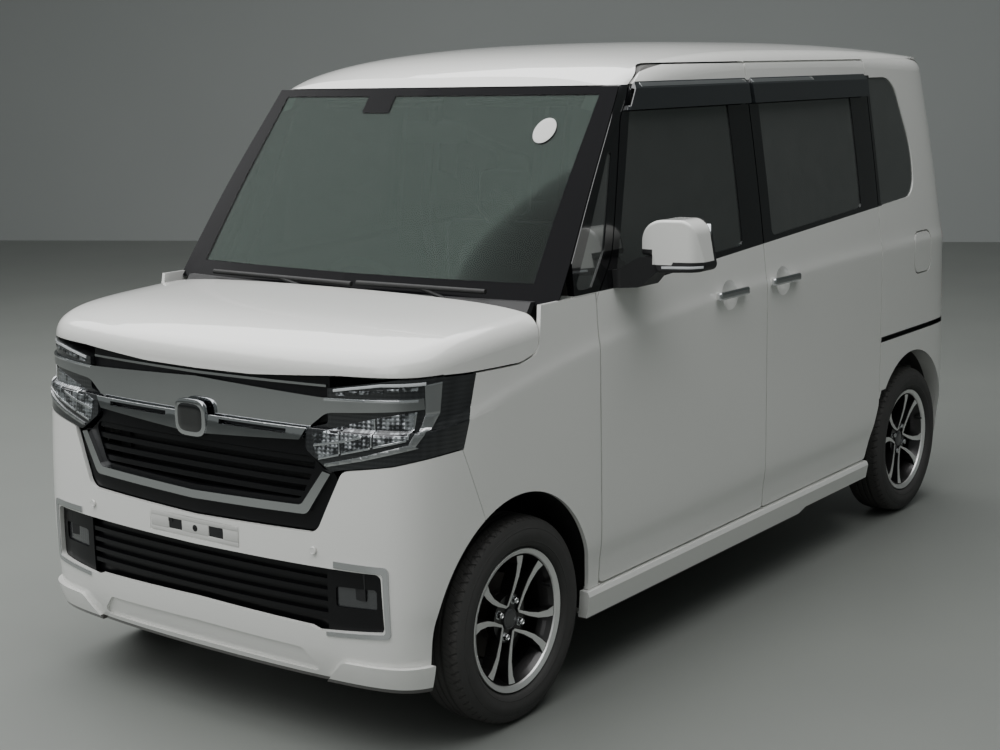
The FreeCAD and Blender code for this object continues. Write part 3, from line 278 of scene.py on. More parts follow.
@dataclass(frozen=True)
class PearlPaint:
    """Pearl white paint under clear coat, with the black pillars, grips and slots of the side panels."""

    name: str = "pearl_white_paint"
    colour: tuple = (0.80, 0.80, 0.775)
    black: tuple = (0.006, 0.006, 0.007)
    trim: tuple = (0.055, 0.053, 0.05)
    side_panel: bool = False
    inner_x: float = 672.0
    lean_from: float = 1107.0
    lean: float = 0.1275
    belt_front: float = 1107.0
    belt_slope: float = 0.055
    belt_from: float = -600.0
    band_top: float = 1660.0
    pillar_rear: float = 1024.0
    rail_slot: tuple = (699.0, 718.5, 998.0)
    grip_x: float = 740.0

    def dress(self) -> Skin:
        """Build the paint."""
        desk = Desk(self.name)
        flake = desk.noise(2400.0, 1.0)
        cloud = desk.noise(3.0, 2.0)
        white = desk.mixed(cloud * 0.35 + flake * 0.12, self.colour, tuple(c * 0.93 for c in self.colour))
        relief = desk.bump(desk.noise(420.0, 1.0), 0.00002)
        rough = flake * 0.06 + 0.26
        if not self.side_panel:
            under = desk.z.under(0.2)
            colour = desk.mixed(under, white, self.trim)
            return desk.dressed(
                Base_Color=colour, Roughness=rough, Metallic=0.0, Coat_Weight=1.0, Coat_Roughness=0.03,
                Normal=relief)
        black = self._pillars(desk)
        lean = (desk.z - self.lean_from * MM).either(0.0) * self.lean
        step = desk.z.over(self.lean_from * MM) * 0.0295
        inside = (desk.x.size() + lean).under(step + self.inner_x * MM)
        low, high, front = (v * MM for v in self.rail_slot)
        slot = desk.z.between(low, high) * desk.y.over(front)
        grip = desk.x.size().over(self.grip_x * MM, 0.0006) * desk.z.under(1.08)
        colour = desk.mixed(black, white, self.black)
        colour = desk.mixed(slot, colour, (0.012, 0.012, 0.012))
        colour = desk.mixed(inside, colour, self.trim)
        colour = desk.mixed(grip, colour, (0.72, 0.73, 0.75))
        rough = rough * (1.0 - inside) + inside * 0.6
        rough = rough * (1.0 - grip) + grip * 0.09
        rough = rough * (1.0 - black) + black * 0.16
        coat = (1.0 - inside) * (1.0 - slot)
        return desk.dressed(
            Base_Color=colour, Roughness=rough, Metallic=grip, Coat_Weight=coat, Coat_Roughness=0.03,
            Normal=relief)

    def _pillars(self, desk: Desk) -> Signal:
        """Mask of the black window surround: over the belt, under the rail, ahead of the rear quarter."""
        rise = (desk.y - self.belt_from * MM).either(0.0) * self.belt_slope + self.belt_front * MM
        return desk.z.over(rise) * desk.z.under(self.band_top * MM) * desk.y.under(self.pillar_rear * MM)


@dataclass(frozen=True)
class Coated:
    """A gloss black or coloured plastic, or plain paint, with fine unevenness."""

    name: str
    colour: tuple
    roughness: float = 0.2
    metallic: float = 0.0
    coat: float = 0.0
    grain: float = 0.0
    grain_scale: float = 900.0
    vary: float = 0.15
    specular: float = 0.5

    def dress(self) -> Skin:
        """Build the finish."""
        desk = Desk(self.name)
        cloud = desk.noise(9.0, 4.0)
        fine = desk.noise(self.grain_scale, 2.0)
        colour = desk.mixed(cloud, self.colour, tuple(c * (1.0 - self.vary) for c in self.colour))
        rough = self.roughness * 0.85 + cloud * self.roughness * 0.3
        relief = desk.bump(fine, max(self.grain, 0.000004))
        return desk.dressed(
            Base_Color=colour, Roughness=rough, Metallic=self.metallic, Coat_Weight=self.coat,
            Coat_Roughness=0.04, Specular_IOR_Level=self.specular, Normal=relief)


@dataclass(frozen=True)
class Glass:
    """Thin car glass: a tinted clear sheet that also mirrors, with a little haze and a printed border."""

    name: str
    tint: tuple
    shine: float = 0.8
    mirror: float = 0.06
    haze: float = 0.04
    border: Optional[Callable[[Desk], Signal]] = None

    def dress(self) -> Skin:
        """Build the glass."""
        desk = Desk(self.name)
        clear = desk.node("ShaderNodeBsdfTransparent", {}, {"Color": (*self.tint, 1.0)}, "BSDF")
        dust = desk.noise(14.0, 5.0)
        sheen = desk.surface(Base_Color=(0.92, 0.95, 0.94), Roughness=dust * 0.05 + 0.02, Metallic=1.0)
        film = desk.surface(Base_Color=(0.46, 0.48, 0.47), Roughness=dust * 0.2 + 0.6, Metallic=0.0)
        veil = dust * 0.4 * self.haze + 0.8 * self.haze
        clear = desk.node("ShaderNodeMixShader", {}, {0: veil, 1: clear, 2: film}, 0)
        edge = desk.node("ShaderNodeFresnel", {}, {"IOR": 1.5}, "Fac")
        share = edge * self.shine + self.mirror
        pane = desk.node("ShaderNodeMixShader", {}, {0: share, 1: clear, 2: sheen}, 0)
        if self.border:
            print_black = desk.surface(
                Base_Color=(0.005, 0.005, 0.006), Roughness=dust * 0.1 + 0.1, Metallic=0.0,
                Specular_IOR_Level=0.04)
            pane = desk.node("ShaderNodeMixShader", {}, {0: self.border(desk), 1: pane, 2: print_black}, 0)
        return desk.done(pane)


def windscreen_border(desk: Desk) -> Signal:
    """The printed black border of the windscreen, wide at its foot and behind the mirror."""
    height = desk.z
    side = desk.x.size() + (height - 1.104) * 0.055
    mask = height.under(1.142).either(height.over(1.634)).either(side.over(0.632))
    return mask.either((desk.x + 0.165).size().under(0.055) * height.over(1.585))


def tailgate_border(desk: Desk) -> Signal:
    """The printed black border of the tailgate glass."""
    return desk.z.under(1.178).either(desk.z.over(1.566)).either(desk.x.size().over(0.508))


@dataclass(frozen=True)
class LampLens:
    """Dark lamp housing under a clear lens, with ribbed reflectors."""

    name: str = "clear_lens"

    def dress(self) -> Skin:
        """Build the lens."""
        desk = Desk(self.name)
        fog = desk.z.under(0.6)
        ribs = desk.x.wave(0.011) * 0.5 + desk.z.wave(0.011) * 0.5
        glow = desk.mixed(ribs, (0.012, 0.013, 0.015), (0.035, 0.037, 0.04))
        colour = desk.mixed(fog, glow, (0.05, 0.052, 0.056))
        relief = desk.bump(ribs, 0.0006)
        return desk.dressed(
            Base_Color=colour, Roughness=0.14 + ribs * 0.12, Metallic=0.3, Coat_Weight=1.0,
            Coat_Roughness=0.01, Normal=relief)


@dataclass(frozen=True)
class BeamCell:
    """A faceted reflector bowl under the headlamp lens, dark with bright silver patches that are painted glints.
    """

    name: str = "beam_cell"
    facet: float = 0.013

    def dress(self) -> Skin:
        """Build the reflector."""
        desk = Desk(self.name)
        steps = desk.x.wave(self.facet) * 0.5 + desk.z.wave(self.facet * 0.8) * 0.5
        painted_glint_patch = desk.noise(38.0, 1.0)
        # painted glints: noise patches and the facet steps turn parts of the dark reflector bright silver
        bright = (painted_glint_patch + steps * 0.25).over(0.66, 0.18)
        colour = desk.mixed(bright, (0.03, 0.033, 0.036), (0.36, 0.38, 0.40))
        return desk.dressed(
            Base_Color=colour, Roughness=0.12 + steps * 0.1, Metallic=0.75, Coat_Weight=1.0,
            Coat_Roughness=0.01, Normal=desk.bump(steps, 0.0022))


@dataclass(frozen=True)
class TailLens:
    """Red tail lamp lens with a clear reversing cell and fine prisms."""

    name: str = "red_lens"

    def dress(self) -> Skin:
        """Build the lens."""
        desk = Desk(self.name)
        prisms = desk.z.wave(0.009) * 0.6 + desk.y.wave(0.009) * 0.4
        red = desk.mixed(prisms, (0.30, 0.004, 0.006), (0.5, 0.012, 0.014))
        clear = desk.z.between(0.93, 1.02)
        dark = desk.z.between(1.02, 1.028).either(desk.z.between(0.922, 0.93)).either(desk.z.over(1.29))
        colour = desk.mixed(clear, red, (0.62, 0.62, 0.62))
        colour = desk.mixed(dark, colour, (0.01, 0.01, 0.01))
        return desk.dressed(
            Base_Color=colour, Roughness=0.12 + prisms * 0.1, Metallic=0.0, Coat_Weight=1.0,
            Coat_Roughness=0.01, Normal=desk.bump(prisms, 0.0008))


@dataclass(frozen=True)
class TyreRubber:
    """Tyre rubber with tread grooves, wear bars and rings on the wall, the grooves coloured darker as painted
    shade.
    """

    name: str
    axle_y: float
    centre_x: float = 652.5
    axle_z: float = 278.5
    tread_from: float = 268.0
    groove: float = 0.006

    def dress(self) -> Skin:
        """Build the rubber."""
        desk = Desk(self.name)
        radius = desk.radius(self.axle_y * MM, self.axle_z * MM)
        across = desk.x.size() - self.centre_x * MM
        turn = desk.turn(self.axle_y * MM, self.axle_z * MM)
        tread = radius.over(self.tread_from * MM)
        lanes = (across.size() - 0.021).size().under(0.0035, 0.002).either(across.size().under(0.0035, 0.002))
        shoulder = across.size().over(0.046, 0.003)
        blocks = (turn * 0.2785 + across.size() * 0.5).wave(0.026).under(0.2, 0.15) * shoulder
        fine = (turn * 0.2785 - across * 0.6).wave(0.017).under(0.12, 0.1)
        cut = lanes.either(blocks).either(fine * 0.5) * tread
        rings = (radius - 0.2475).size().under(0.0012, 0.001)
        rings = rings.either((radius - 0.212).size().under(0.001, 0.001))
        wall = (1.0 - tread) * (rings + turn.wave(0.0175) * radius.between(0.2475, 0.26, 0.003) * 0.5)
        # painted shade: the tread grooves are coloured darker than the rubber around them
        colour = desk.mixed(cut, (0.042, 0.041, 0.040), (0.010, 0.010, 0.010))
        dust = desk.noise(30.0, 5.0)
        colour = desk.mixed(dust * tread * 0.5, colour, (0.07, 0.065, 0.06))
        height = wall * 0.4 - cut + desk.noise(700.0, 2.0) * 0.03
        return desk.dressed(
            Base_Color=colour, Roughness=0.62 + dust * 0.2, Metallic=0.0, Coat_Weight=0.0,
            Normal=desk.bump(height, self.groove * 0.5))


@dataclass(frozen=True)
class CutAlloy:
    """Dark grey alloy wheel with its outer faces turned bright, and a grey iron brake behind it."""

    name: str
    axle_y: float
    centre_x: float = 652.5
    axle_z: float = 278.5
    face_x: float = 688.5
    face_radius: float = 34.0
    rise: float = 18.0 / 138.0

    def dress(self) -> Skin:
        """Build the alloy."""
        desk = Desk(self.name)
        radius = desk.radius(self.axle_y * MM, self.axle_z * MM)
        face = (radius - self.face_radius * MM) * self.rise + (self.face_x - 1.6) * MM
        bright = desk.x.size().over(face, 0.0015) * radius.over(0.030)
        lip = radius.over(0.1885) * desk.x.size().over(0.704)
        bright = bright.either(lip)
        brake = desk.x.size().under(0.656) * radius.under(0.119)
        turned = radius.wave(0.0011)
        colour = desk.mixed(bright, (0.045, 0.045, 0.048), (0.86, 0.86, 0.85))
        colour = desk.mixed(brake, colour, (0.11, 0.1, 0.095))
        dust = desk.noise(22.0, 5.0)
        colour = desk.mixed(dust * 0.35 * (1.0 - bright), colour, (0.09, 0.08, 0.07))
        rough = 0.34 + turned * bright * 0.08 + brake * 0.25
        return desk.dressed(
            Base_Color=colour, Roughness=rough, Metallic=0.85, Coat_Weight=0.3, Coat_Roughness=0.08,
            Normal=desk.bump(turned * bright, 0.00002))


@dataclass(frozen=True)
class Cloth:
    """Woven seat cloth with a fine rib."""

    name: str = "seat_cloth"
    colour: tuple = (0.062, 0.058, 0.052)
    thread: float = 0.0022

    def dress(self) -> Skin:
        """Build the cloth."""
        desk = Desk(self.name)
        warp = desk.x.wave(self.thread)
        weft = (desk.z + desk.y * 0.7).wave(self.thread)
        weave = warp * weft
        fuzz = desk.noise(260.0, 4.0)
        colour = desk.mixed(weave * 0.6 + fuzz * 0.4, self.colour, tuple(c * 1.9 for c in self.colour))
        return desk.dressed(
            Base_Color=colour, Roughness=0.9, Metallic=0.0, Sheen_Weight=0.3, Sheen_Roughness=0.5,
            Normal=desk.bump(weave, 0.0004))


@dataclass(frozen=True)
class MirrorShell:
    """Door mirror: white cap over a black base and arm."""

    name: str = "mirror_shell"
    split: float = 1171.0
    arm_split: float = 1213.0
    arm_x: float = 812.0

    def dress(self) -> Skin:
        """Build the two tone shell."""
        desk = Desk(self.name)
        step = desk.x.size().over(0.868, 0.004) * 0.008
        base = desk.z.under(step + self.split * MM)
        arm = desk.x.size().under(self.arm_x * MM) * desk.z.under(self.arm_split * MM)
        back = desk.y.over(-0.603)
        black = base.either(arm).either(back)
        grain = desk.noise(1100.0, 2.0)
        colour = desk.mixed(black, (0.80, 0.80, 0.775), (0.014, 0.014, 0.015))
        rough = 0.26 + black * 0.24
        return desk.dressed(
            Base_Color=colour, Roughness=rough, Metallic=0.0, Coat_Weight=1.0 - black, Coat_Roughness=0.03,
            Normal=desk.bump(grain * black, 0.00008))


@dataclass
class Finishes:
    """Every finish of the car, made once and shared."""

    made: dict = field(default_factory=dict)

    def build(self) -> None:
        """Make all materials."""
        plain = [
            PearlPaint(),
            PearlPaint(name="pearl_white_side", side_panel=True),
            Coated("gloss_black", (0.006, 0.006, 0.007), 0.12, coat=1.0),
            Coated("black_plastic", (0.020, 0.020, 0.021), 0.5, grain=0.00012, grain_scale=1300.0),
            Coated("grille_black", (0.005, 0.005, 0.006), 0.34, coat=0.12, specular=0.22),
            Coated("liner_felt", (0.011, 0.011, 0.011), 0.85, grain=0.0004, grain_scale=500.0),
            Coated("cabin_plastic", (0.035, 0.033, 0.031), 0.55, grain=0.00015, grain_scale=1100.0),
            Coated("chrome", (0.56, 0.57, 0.58), 0.08, metallic=1.0, vary=0.04),
            Coated("satin_silver", (0.55, 0.56, 0.57), 0.25, metallic=1.0, vary=0.08),
            Coated("smoked_acrylic", (0.026, 0.029, 0.032), 0.06, coat=1.0),
            Coated("rubber_black", (0.016, 0.016, 0.016), 0.6, grain=0.00006),
            Coated(
                "underbody_steel", (0.09, 0.09, 0.092), 0.5, metallic=0.3, grain=0.0003, grain_scale=160.0),
            Coated("chassis_steel", (0.028, 0.028, 0.03), 0.42, metallic=0.4, grain=0.0001),
            Coated("cast_metal", (0.10, 0.095, 0.09), 0.6, metallic=0.8, grain=0.0004, grain_scale=350.0),
            Coated("engine_alloy", (0.27, 0.27, 0.28), 0.45, metallic=0.9, grain=0.0004, grain_scale=240.0),
            Coated("exhaust_steel", (0.26, 0.23, 0.2), 0.38, metallic=1.0, vary=0.35),
            Coated("lamp_silver", (0.66, 0.68, 0.70), 0.12, metallic=0.9, coat=1.0, vary=0.1),
            Coated("light_bar", (0.62, 0.64, 0.66), 0.18, coat=1.0, vary=0.05),
            Coated("cap_grey", (0.10, 0.10, 0.105), 0.3, metallic=0.7, coat=0.5),
            Coated("reflector_red", (0.42, 0.01, 0.012), 0.16, coat=1.0, vary=0.25),
            Coated("screen_glass", (0.004, 0.005, 0.006), 0.08, coat=1.0),
            Coated("mirror_glass", (0.72, 0.75, 0.77), 0.03, metallic=1.0, vary=0.02),
            Coated("plate_bracket", (0.62, 0.62, 0.60), 0.38, vary=0.1, grain=0.00004),
            LampLens(), BeamCell(), TailLens(), MirrorShell(), Cloth(),
            Glass("clear_glass", (0.47, 0.53, 0.50), 0.10, 0.0, 0.010, border=windscreen_border),
            Glass("door_glass", (0.42, 0.47, 0.45), 0.8, 0.16, 0.10),
            Glass("privacy_glass", (0.10, 0.105, 0.105), 0.8, 0.16, 0.14),
            Glass("tailgate_glass", (0.10, 0.105, 0.105), 0.8, 0.08, 0.10, border=tailgate_border),
            TyreRubber("tyre_front", -1225.0), TyreRubber("tyre_rear", 1295.0),
            CutAlloy("wheel_alloy_front", -1225.0), CutAlloy("wheel_alloy_rear", 1295.0),
        ]
        for finish in plain:
            self.made[finish.name] = finish.dress()

    def of(self, name: str) -> Skin:
        """A material by name."""
        return self.made[name]


# Modelling


@dataclass
class Bench:
    """The tools that shape new pieces, fed in millimetres."""

    frame: dict
    finishes: Finishes
    count: int = 0

    def clear(self) -> None:
        """Let go of everything that is selected."""
        if bpy.context.object and bpy.context.object.mode != "OBJECT":
            bpy.ops.object.mode_set(mode="OBJECT")
        bpy.ops.object.select_all(action="DESELECT")

    @contextmanager
    def editing(self, whole: bool = True) -> Iterator[None]:
        """Edit mode, with the whole mesh selected or only what was picked before."""
        bpy.ops.object.mode_set(mode="EDIT")
        if whole:
            bpy.ops.mesh.select_all(action="SELECT")
        yield
        bpy.ops.object.mode_set(mode="OBJECT")

    def pick(self, piece: Piece) -> None:
        """Select one piece and nothing else."""
        bpy.ops.object.select_all(action="DESELECT")
        bpy.context.view_layer.objects.active = piece
        piece.select_set(True)

    def settle(self, piece: Piece) -> None:
        """Move a piece's place, turn and size into its mesh."""
        self.pick(piece)
        bpy.ops.object.transform_apply(location=True, rotation=True, scale=True)

    def modify(self, piece: Piece, kind: str, **settings: object) -> None:
        """Add one modifier and apply it."""
        self.pick(piece)
        made = piece.modifiers.new(kind.lower(), kind)
        for key, value in settings.items():
            setattr(made, key, value)
        bpy.ops.object.modifier_apply(modifier=made.name)

    def finish(self, piece: Piece, name: str, body: str, material: str, slot: str,
               smooth: float = 35.0) -> Piece:
        """Name, dress and fix a piece on its body.

        Args:
            piece: the piece.
            name: its name.
            body: the body that carries it.
            material: its finish.
            slot: the record's material slot; not used.
            smooth: edges flatter than this are shaded smooth, in degrees.

        Returns:
            The piece.
        """
        self.settle(piece)
        bpy.ops.object.shade_smooth_by_angle(angle=math.radians(smooth))
        piece.name = name
        piece.data.name = name
        piece.data.materials.clear()
        piece.data.materials.append(self.finishes.of(material))
        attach(piece, body)
        self.count += 1
        return piece

    def outline(
        self, corners: Line, face: Face, depth: float, step: float = 12.0) -> Piece:
        """A flat sheet in the shape of a convex outline.

        Args:
            corners: its corners as (x, z), (y, z) or (x, y), by the face.
            face: the side of the car that it faces.
            depth: where it lies along the third axis.
            step: size of the squares it is divided into.

        Returns:
            The sheet.
        """
        self.clear()
        a = [c[0] for c in corners]
        b = [c[1] for c in corners]
        wide, high = max(a) - min(a), max(b) - min(b)
        middle = ((max(a) + min(a)) / 2, (max(b) + min(b)) / 2)
        bpy.ops.mesh.primitive_grid_add(
            x_subdivisions=max(2, int(wide / step)), y_subdivisions=max(2, int(high / step)), size=1.0,
            location=self.place(middle, face, depth), rotation=face.turn)
        sheet = bpy.context.object
        sheet.scale = ((wide + 2) * MM, (high + 2) * MM, 1.0)
        self.settle(sheet)
        centre = sum((self.place(c, face, depth) for c in corners), Vector()) / len(corners)
        out = self.place((0, 0), face, depth + 1) - self.place((0, 0), face, depth)
        for first, second in zip(corners, corners[1:] + corners[:1]):
            start, end = self.place(first, face, depth), self.place(second, face, depth)
            away = (end - start).cross(out)
            if away.dot(centre - start) > 0:
                away = -away
            with self.editing():
                bpy.ops.mesh.bisect(
                    plane_co=start, plane_no=away.normalized(), clear_outer=True, clear_inner=False)
        return sheet

    def place(self, corner: Corner, face: Face, depth: float) -> Vector:
        """A flat corner as a point in space."""
        spot = list(corner)
        spot.insert(face.axis, depth)
        return Vector(spot) * MM

    def laid(self, sheet: Piece, node: str, face: Face, lift: float) -> Piece:
        """Press a sheet onto a CAD node along the face's direction, and lift it off a little."""
        settings = {f"use_project_{a}": i == face.axis for i, a in enumerate("xyz")}
        self.modify(
            sheet, "SHRINKWRAP", target=self.frame["nodes"][node], wrap_method="PROJECT",
            wrap_mode="ABOVE_SURFACE", offset=lift * MM, use_negative_direction=True,
            use_positive_direction=True, **settings)
        return sheet

    def fitted(self, corners: Line, node: str, face: Face, lift: float, thickness: float,
               bevel: float = 0.8, step: float = 9.0) -> Piece:
        """A thin plate of a convex outline that follows a CAD node's surface.

        Args:
            corners: the outline.
            node: the CAD node that carries the plate.
            face: the side that the outline is seen from.
            lift: height of the plate's middle over the surface.
            thickness: the plate's thickness.
            bevel: how far its edges are softened.
            step: size of the squares it is divided into.

        Returns:
            The plate.
        """
        sheet = self.laid(self.outline(corners, face, face.far, step), node, face, lift)
        for vertex in sheet.data.vertices:
            vertex.select = abs(vertex.co[face.axis] - face.far * MM) < MISSED
        for edge in sheet.data.edges:
            edge.select = False
        for polygon in sheet.data.polygons:
            polygon.select = False
        if any(v.select for v in sheet.data.vertices):
            LOG.warning("part of an outline near %s misses %s", corners[0], node)
            with self.editing(whole=False):
                bpy.ops.mesh.delete(type="VERT")
        return self.thick(sheet, thickness, bevel)

    def ribbon(self, upper: Line, lower: Line, node: str, face: Face, lift: float,
               thickness: float, bevel: float = 0.6) -> Piece:
        """A narrow band between two lines that follows a CAD node's surface."""
        plates = []
        for (a, b), (c, d) in zip(zip(upper, upper[1:]), zip(lower, lower[1:])):
            plates.append(self.fitted([a, b, d, c], node, face, lift, thickness, bevel, 7.0))
        return self.merged(plates)

    def on_both_sides(self, piece: Piece, name: str, bodies: tuple[str, str], material: str,
                      slot: str) -> None:
        """Finish a piece on the left, and its mirror image on the right."""
        other = self.flipped(piece)
        self.finish(piece, f"{name}_left", bodies[0], material, slot)
        self.finish(other, f"{name}_right", bodies[1], material, slot)

    def thick(self, piece: Piece, thickness: float, bevel: float = 0.0) -> Piece:
        """Give a sheet its thickness, half to each side, with softened edges."""
        self.modify(piece, "SOLIDIFY", thickness=thickness * MM, offset=0.0, use_even_offset=True)
        if bevel:
            self.modify(
                piece, "BEVEL", width=bevel * MM, segments=2, limit_method="ANGLE",
                angle_limit=math.radians(40))
        return piece

    def block(self, low: Point, high: Point, bevel: float, segments: int = 3) -> Piece:
        """A box between two corners with rounded edges."""
        self.clear()
        size = [(h - l) * MM for l, h in zip(low, high)]
        middle = [(h + l) / 2 * MM for l, h in zip(low, high)]
        bpy.ops.mesh.primitive_cube_add(size=1.0, location=middle)
        piece = bpy.context.object
        piece.scale = size
        self.settle(piece)
        with self.editing():
            bpy.ops.mesh.bevel(offset=bevel * MM, segments=segments, affect="EDGES")
        return piece

    def bar(self, start: Point, end: Point, wide: float, high: float, bevel: float = 1.0) -> Piece:
        """A straight bar of rectangular section with softened edges."""
        self.clear()
        a, b = Vector(start) * MM, Vector(end) * MM
        bpy.ops.mesh.primitive_cube_add(size=1.0, location=(a + b) / 2)
        piece = bpy.context.object
        piece.scale = (wide * MM, high * MM, (b - a).length)
        piece.rotation_mode = "QUATERNION"
        piece.rotation_quaternion = (b - a).to_track_quat("Z", "Y")
        self.settle(piece)
        with self.editing():
            bpy.ops.mesh.bevel(offset=bevel * MM, segments=2, affect="EDGES")
        return piece

    def turned(
        self, centre: Point, axis: Point, profile: Iterable[Corner], sides: int = 48) -> Piece:
        """A piece turned about an axis: a disc pushed along it and resized ring by ring.

        Args:
            centre: a point on the axis.
            axis: its direction.
            profile: (radius, distance along the axis) of each ring in order.
            sides: corners of each ring.

        Returns:
            The piece.
        """
        self.clear()
        rings = list(profile)
        way = Vector(axis).normalized()
        turn = way.to_track_quat("Z", "Y").to_euler()
        start = Vector(centre) * MM + way * rings[0][1] * MM
        bpy.ops.mesh.primitive_circle_add(
            vertices=sides, radius=max(rings[0][0], TIP) * MM, fill_type="NGON", location=start,
            rotation=turn)
        piece = bpy.context.object
        with self.editing():
            for (r0, d0), (r1, d1) in zip(rings, rings[1:]):
                bpy.ops.mesh.extrude_region_move(TRANSFORM_OT_translate={"value": way * (d1 - d0) * MM})
                share = max(r1, TIP) / max(r0, TIP)
                bpy.ops.transform.resize(
                    value=(share, share, share), center_override=start + way * (d1 - rings[0][1]) * MM)
            bpy.ops.mesh.select_all(action="SELECT")
            bpy.ops.mesh.normals_make_consistent(inside=False)
        self.settle(piece)
        return piece

    def merged(self, pieces: list[Piece]) -> Piece:
        """Several pieces joined into one object."""
        self.clear()
        for piece in pieces:
            piece.select_set(True)
        bpy.context.view_layer.objects.active = pieces[0]
        if len(pieces) > 1:
            bpy.ops.object.join()
        return pieces[0]

    def flipped(self, piece: Piece) -> Piece:
        """A mirror image on the other side of the car, its faces still pointing out."""
        copy = piece.copy()
        copy.data = piece.data.copy()
        bpy.context.scene.collection.objects.link(copy)
        copy.scale = (-1.0, 1.0, 1.0)
        self.settle(copy)
        with self.editing():
            bpy.ops.mesh.flip_normals()
        return copy



@dataclass
class Shell:
    """The CAD nodes that keep their shape and get a finish."""

    bench: Bench
    looks: dict = field(default_factory=lambda: {
        "pearl_white_paint": "roof_panel fuel_lid tailgate rear_bumper bonnet front_bumper side_skirts "
                             "rear_spoiler front_wings",
        "pearl_white_side": "front_door sliding_door body_side",
        "privacy_glass": "side_glass",
        "tailgate_glass": "tailgate_glass",
        "clear_glass": "windscreen",
        "door_glass": "front_door_glass",
        "red_lens": "tail_lamps",
        "clear_lens": "headlamps",
        "grille_black": "grille lower_grille",
        "chrome": "chrome_trim",
        "liner_felt": "bulkhead wheel_liners",
        "black_plastic": "cowl_cover fuel_tank",
        "rubber_black": "wipers",
        "mirror_shell": "door_mirror",
        "underbody_steel": "floor_pan",
        "chassis_steel": "front_suspension rear_axle front_frame",
        "cast_metal": "knuckle",
        "engine_alloy": "engine_block",
        "exhaust_steel": "exhaust",
        "cabin_plastic": "dashboard steering_wheel",
        "smoked_acrylic": "front_door_visor side_visors",
        "tyre_front": "tyre_front",
        "tyre_rear": "tyre_rear",
        "wheel_alloy_front": "wheel_front",
        "wheel_alloy_rear": "wheel_rear",
    })

    def build(self) -> None:
        """Give each CAD node its finish."""
        finish_of = {node: look for look, nodes in self.looks.items() for node in nodes.split()}
        for name, node in self.bench.frame["nodes"].items():
            plain = name.removesuffix("_left").removesuffix("_right")
            material = self.bench.finishes.of(finish_of.get(plain, "black_plastic"))
            if not node.material_slots:
                node.data.materials.append(material)
            for slot in node.material_slots:
                slot.material = material


@dataclass
class Headlamps:
    """What shows inside the headlamps: beam cells, running light strips and their bright frames, and a bright
    strip on the chrome bar's wing that is a painted highlight.
    """

    bench: Bench
    body: tuple = ("body_shell", "body_shell")
    cells: tuple = (
        ((428, 771), (496, 789), (490, 853), (414, 829)), ((503, 791), (584, 812), (581, 879), (497, 856)),
        ((591, 814), (668, 834), (674, 898), (588, 881)),
    )
    crescent: tuple = (
        ((707, 966), (707, 890), (697, 842), (684, 814)), ((688, 961), (690, 890), (682, 846), (672, 822)),
    )
    foot_line: tuple = (((432, 755), (560, 787), (676, 822)), ((436, 747), (564, 777), (690, 812)))
    wing_line: tuple = (((440, 920), (560, 925), (684, 929)), ((440, 914), (560, 919), (684, 923)))
    top_line: tuple = (
        ((466, 944), (520, 953), (600, 965), (690, 969)), ((466, 937), (520, 946), (600, 958), (690, 961)),
    )
    cell_bar: tuple = (((420, 806), (520, 826), (560, 838)), ((420, 800), (520, 820), (560, 832)))
    light_cells: tuple = (470, 506, 542, 578, 614, 650)

    def build(self) -> None:
        """Build both lamps' pieces."""
        bench = self.bench
        lamp = "headlamps"
        cells = [bench.fitted(c, lamp, Face.FRONT, 0.6, 2.0) for c in self.cells]
        bench.on_both_sides(bench.merged(cells), "beam_cells", self.body, "beam_cell", "clear_lens")
        rims = []
        for a, b, c, _ in self.cells:
            for upper, lower in (
                ((a, b), [(a[0], a[1] - 5), (b[0], b[1] - 5)]),
                ((b, c), [(b[0] + 4, b[1]), (c[0] + 4, c[1])]),
            ):
                rims.append(bench.ribbon(upper, lower, lamp, Face.FRONT, 1.2, 3.0))
        rims.append(bench.ribbon(*self.cell_bar, lamp, Face.FRONT, 2.2, 3.0))
        bench.on_both_sides(bench.merged(rims), "beam_rims", self.body, "lamp_silver", "clear_lens")
        frame = [bench.ribbon(*c, lamp, Face.FRONT, 1.2, 4.0) for c in (self.crescent, self.foot_line)]
        bench.on_both_sides(bench.merged(frame), "light_frame", self.body, "satin_silver", "clear_lens")
        top = bench.ribbon(*self.top_line, lamp, Face.FRONT, 1.0, 3.0)
        bench.on_both_sides(top, "running_light", self.body, "light_bar", "clear_lens")
        # painted highlight: a bright silver strip laid along the top edge of the chrome bar's wing
        wing = bench.ribbon(*self.wing_line, "chrome_trim", Face.FRONT, 0.6, 1.6)
        bench.on_both_sides(wing, "wing_line", self.body, "lamp_silver", "chrome")
        small = []
        for x in self.light_cells:
            z = 928 + (x - 470) * 0.11
            cell = [(x, z), (x + 29, z + 2), (x + 29, z + 11), (x, z + 9)]
            small.append(bench.fitted(cell, lamp, Face.FRONT, 0.5, 1.6))
        bench.on_both_sides(bench.merged(small), "light_units", self.body, "beam_cell", "clear_lens")


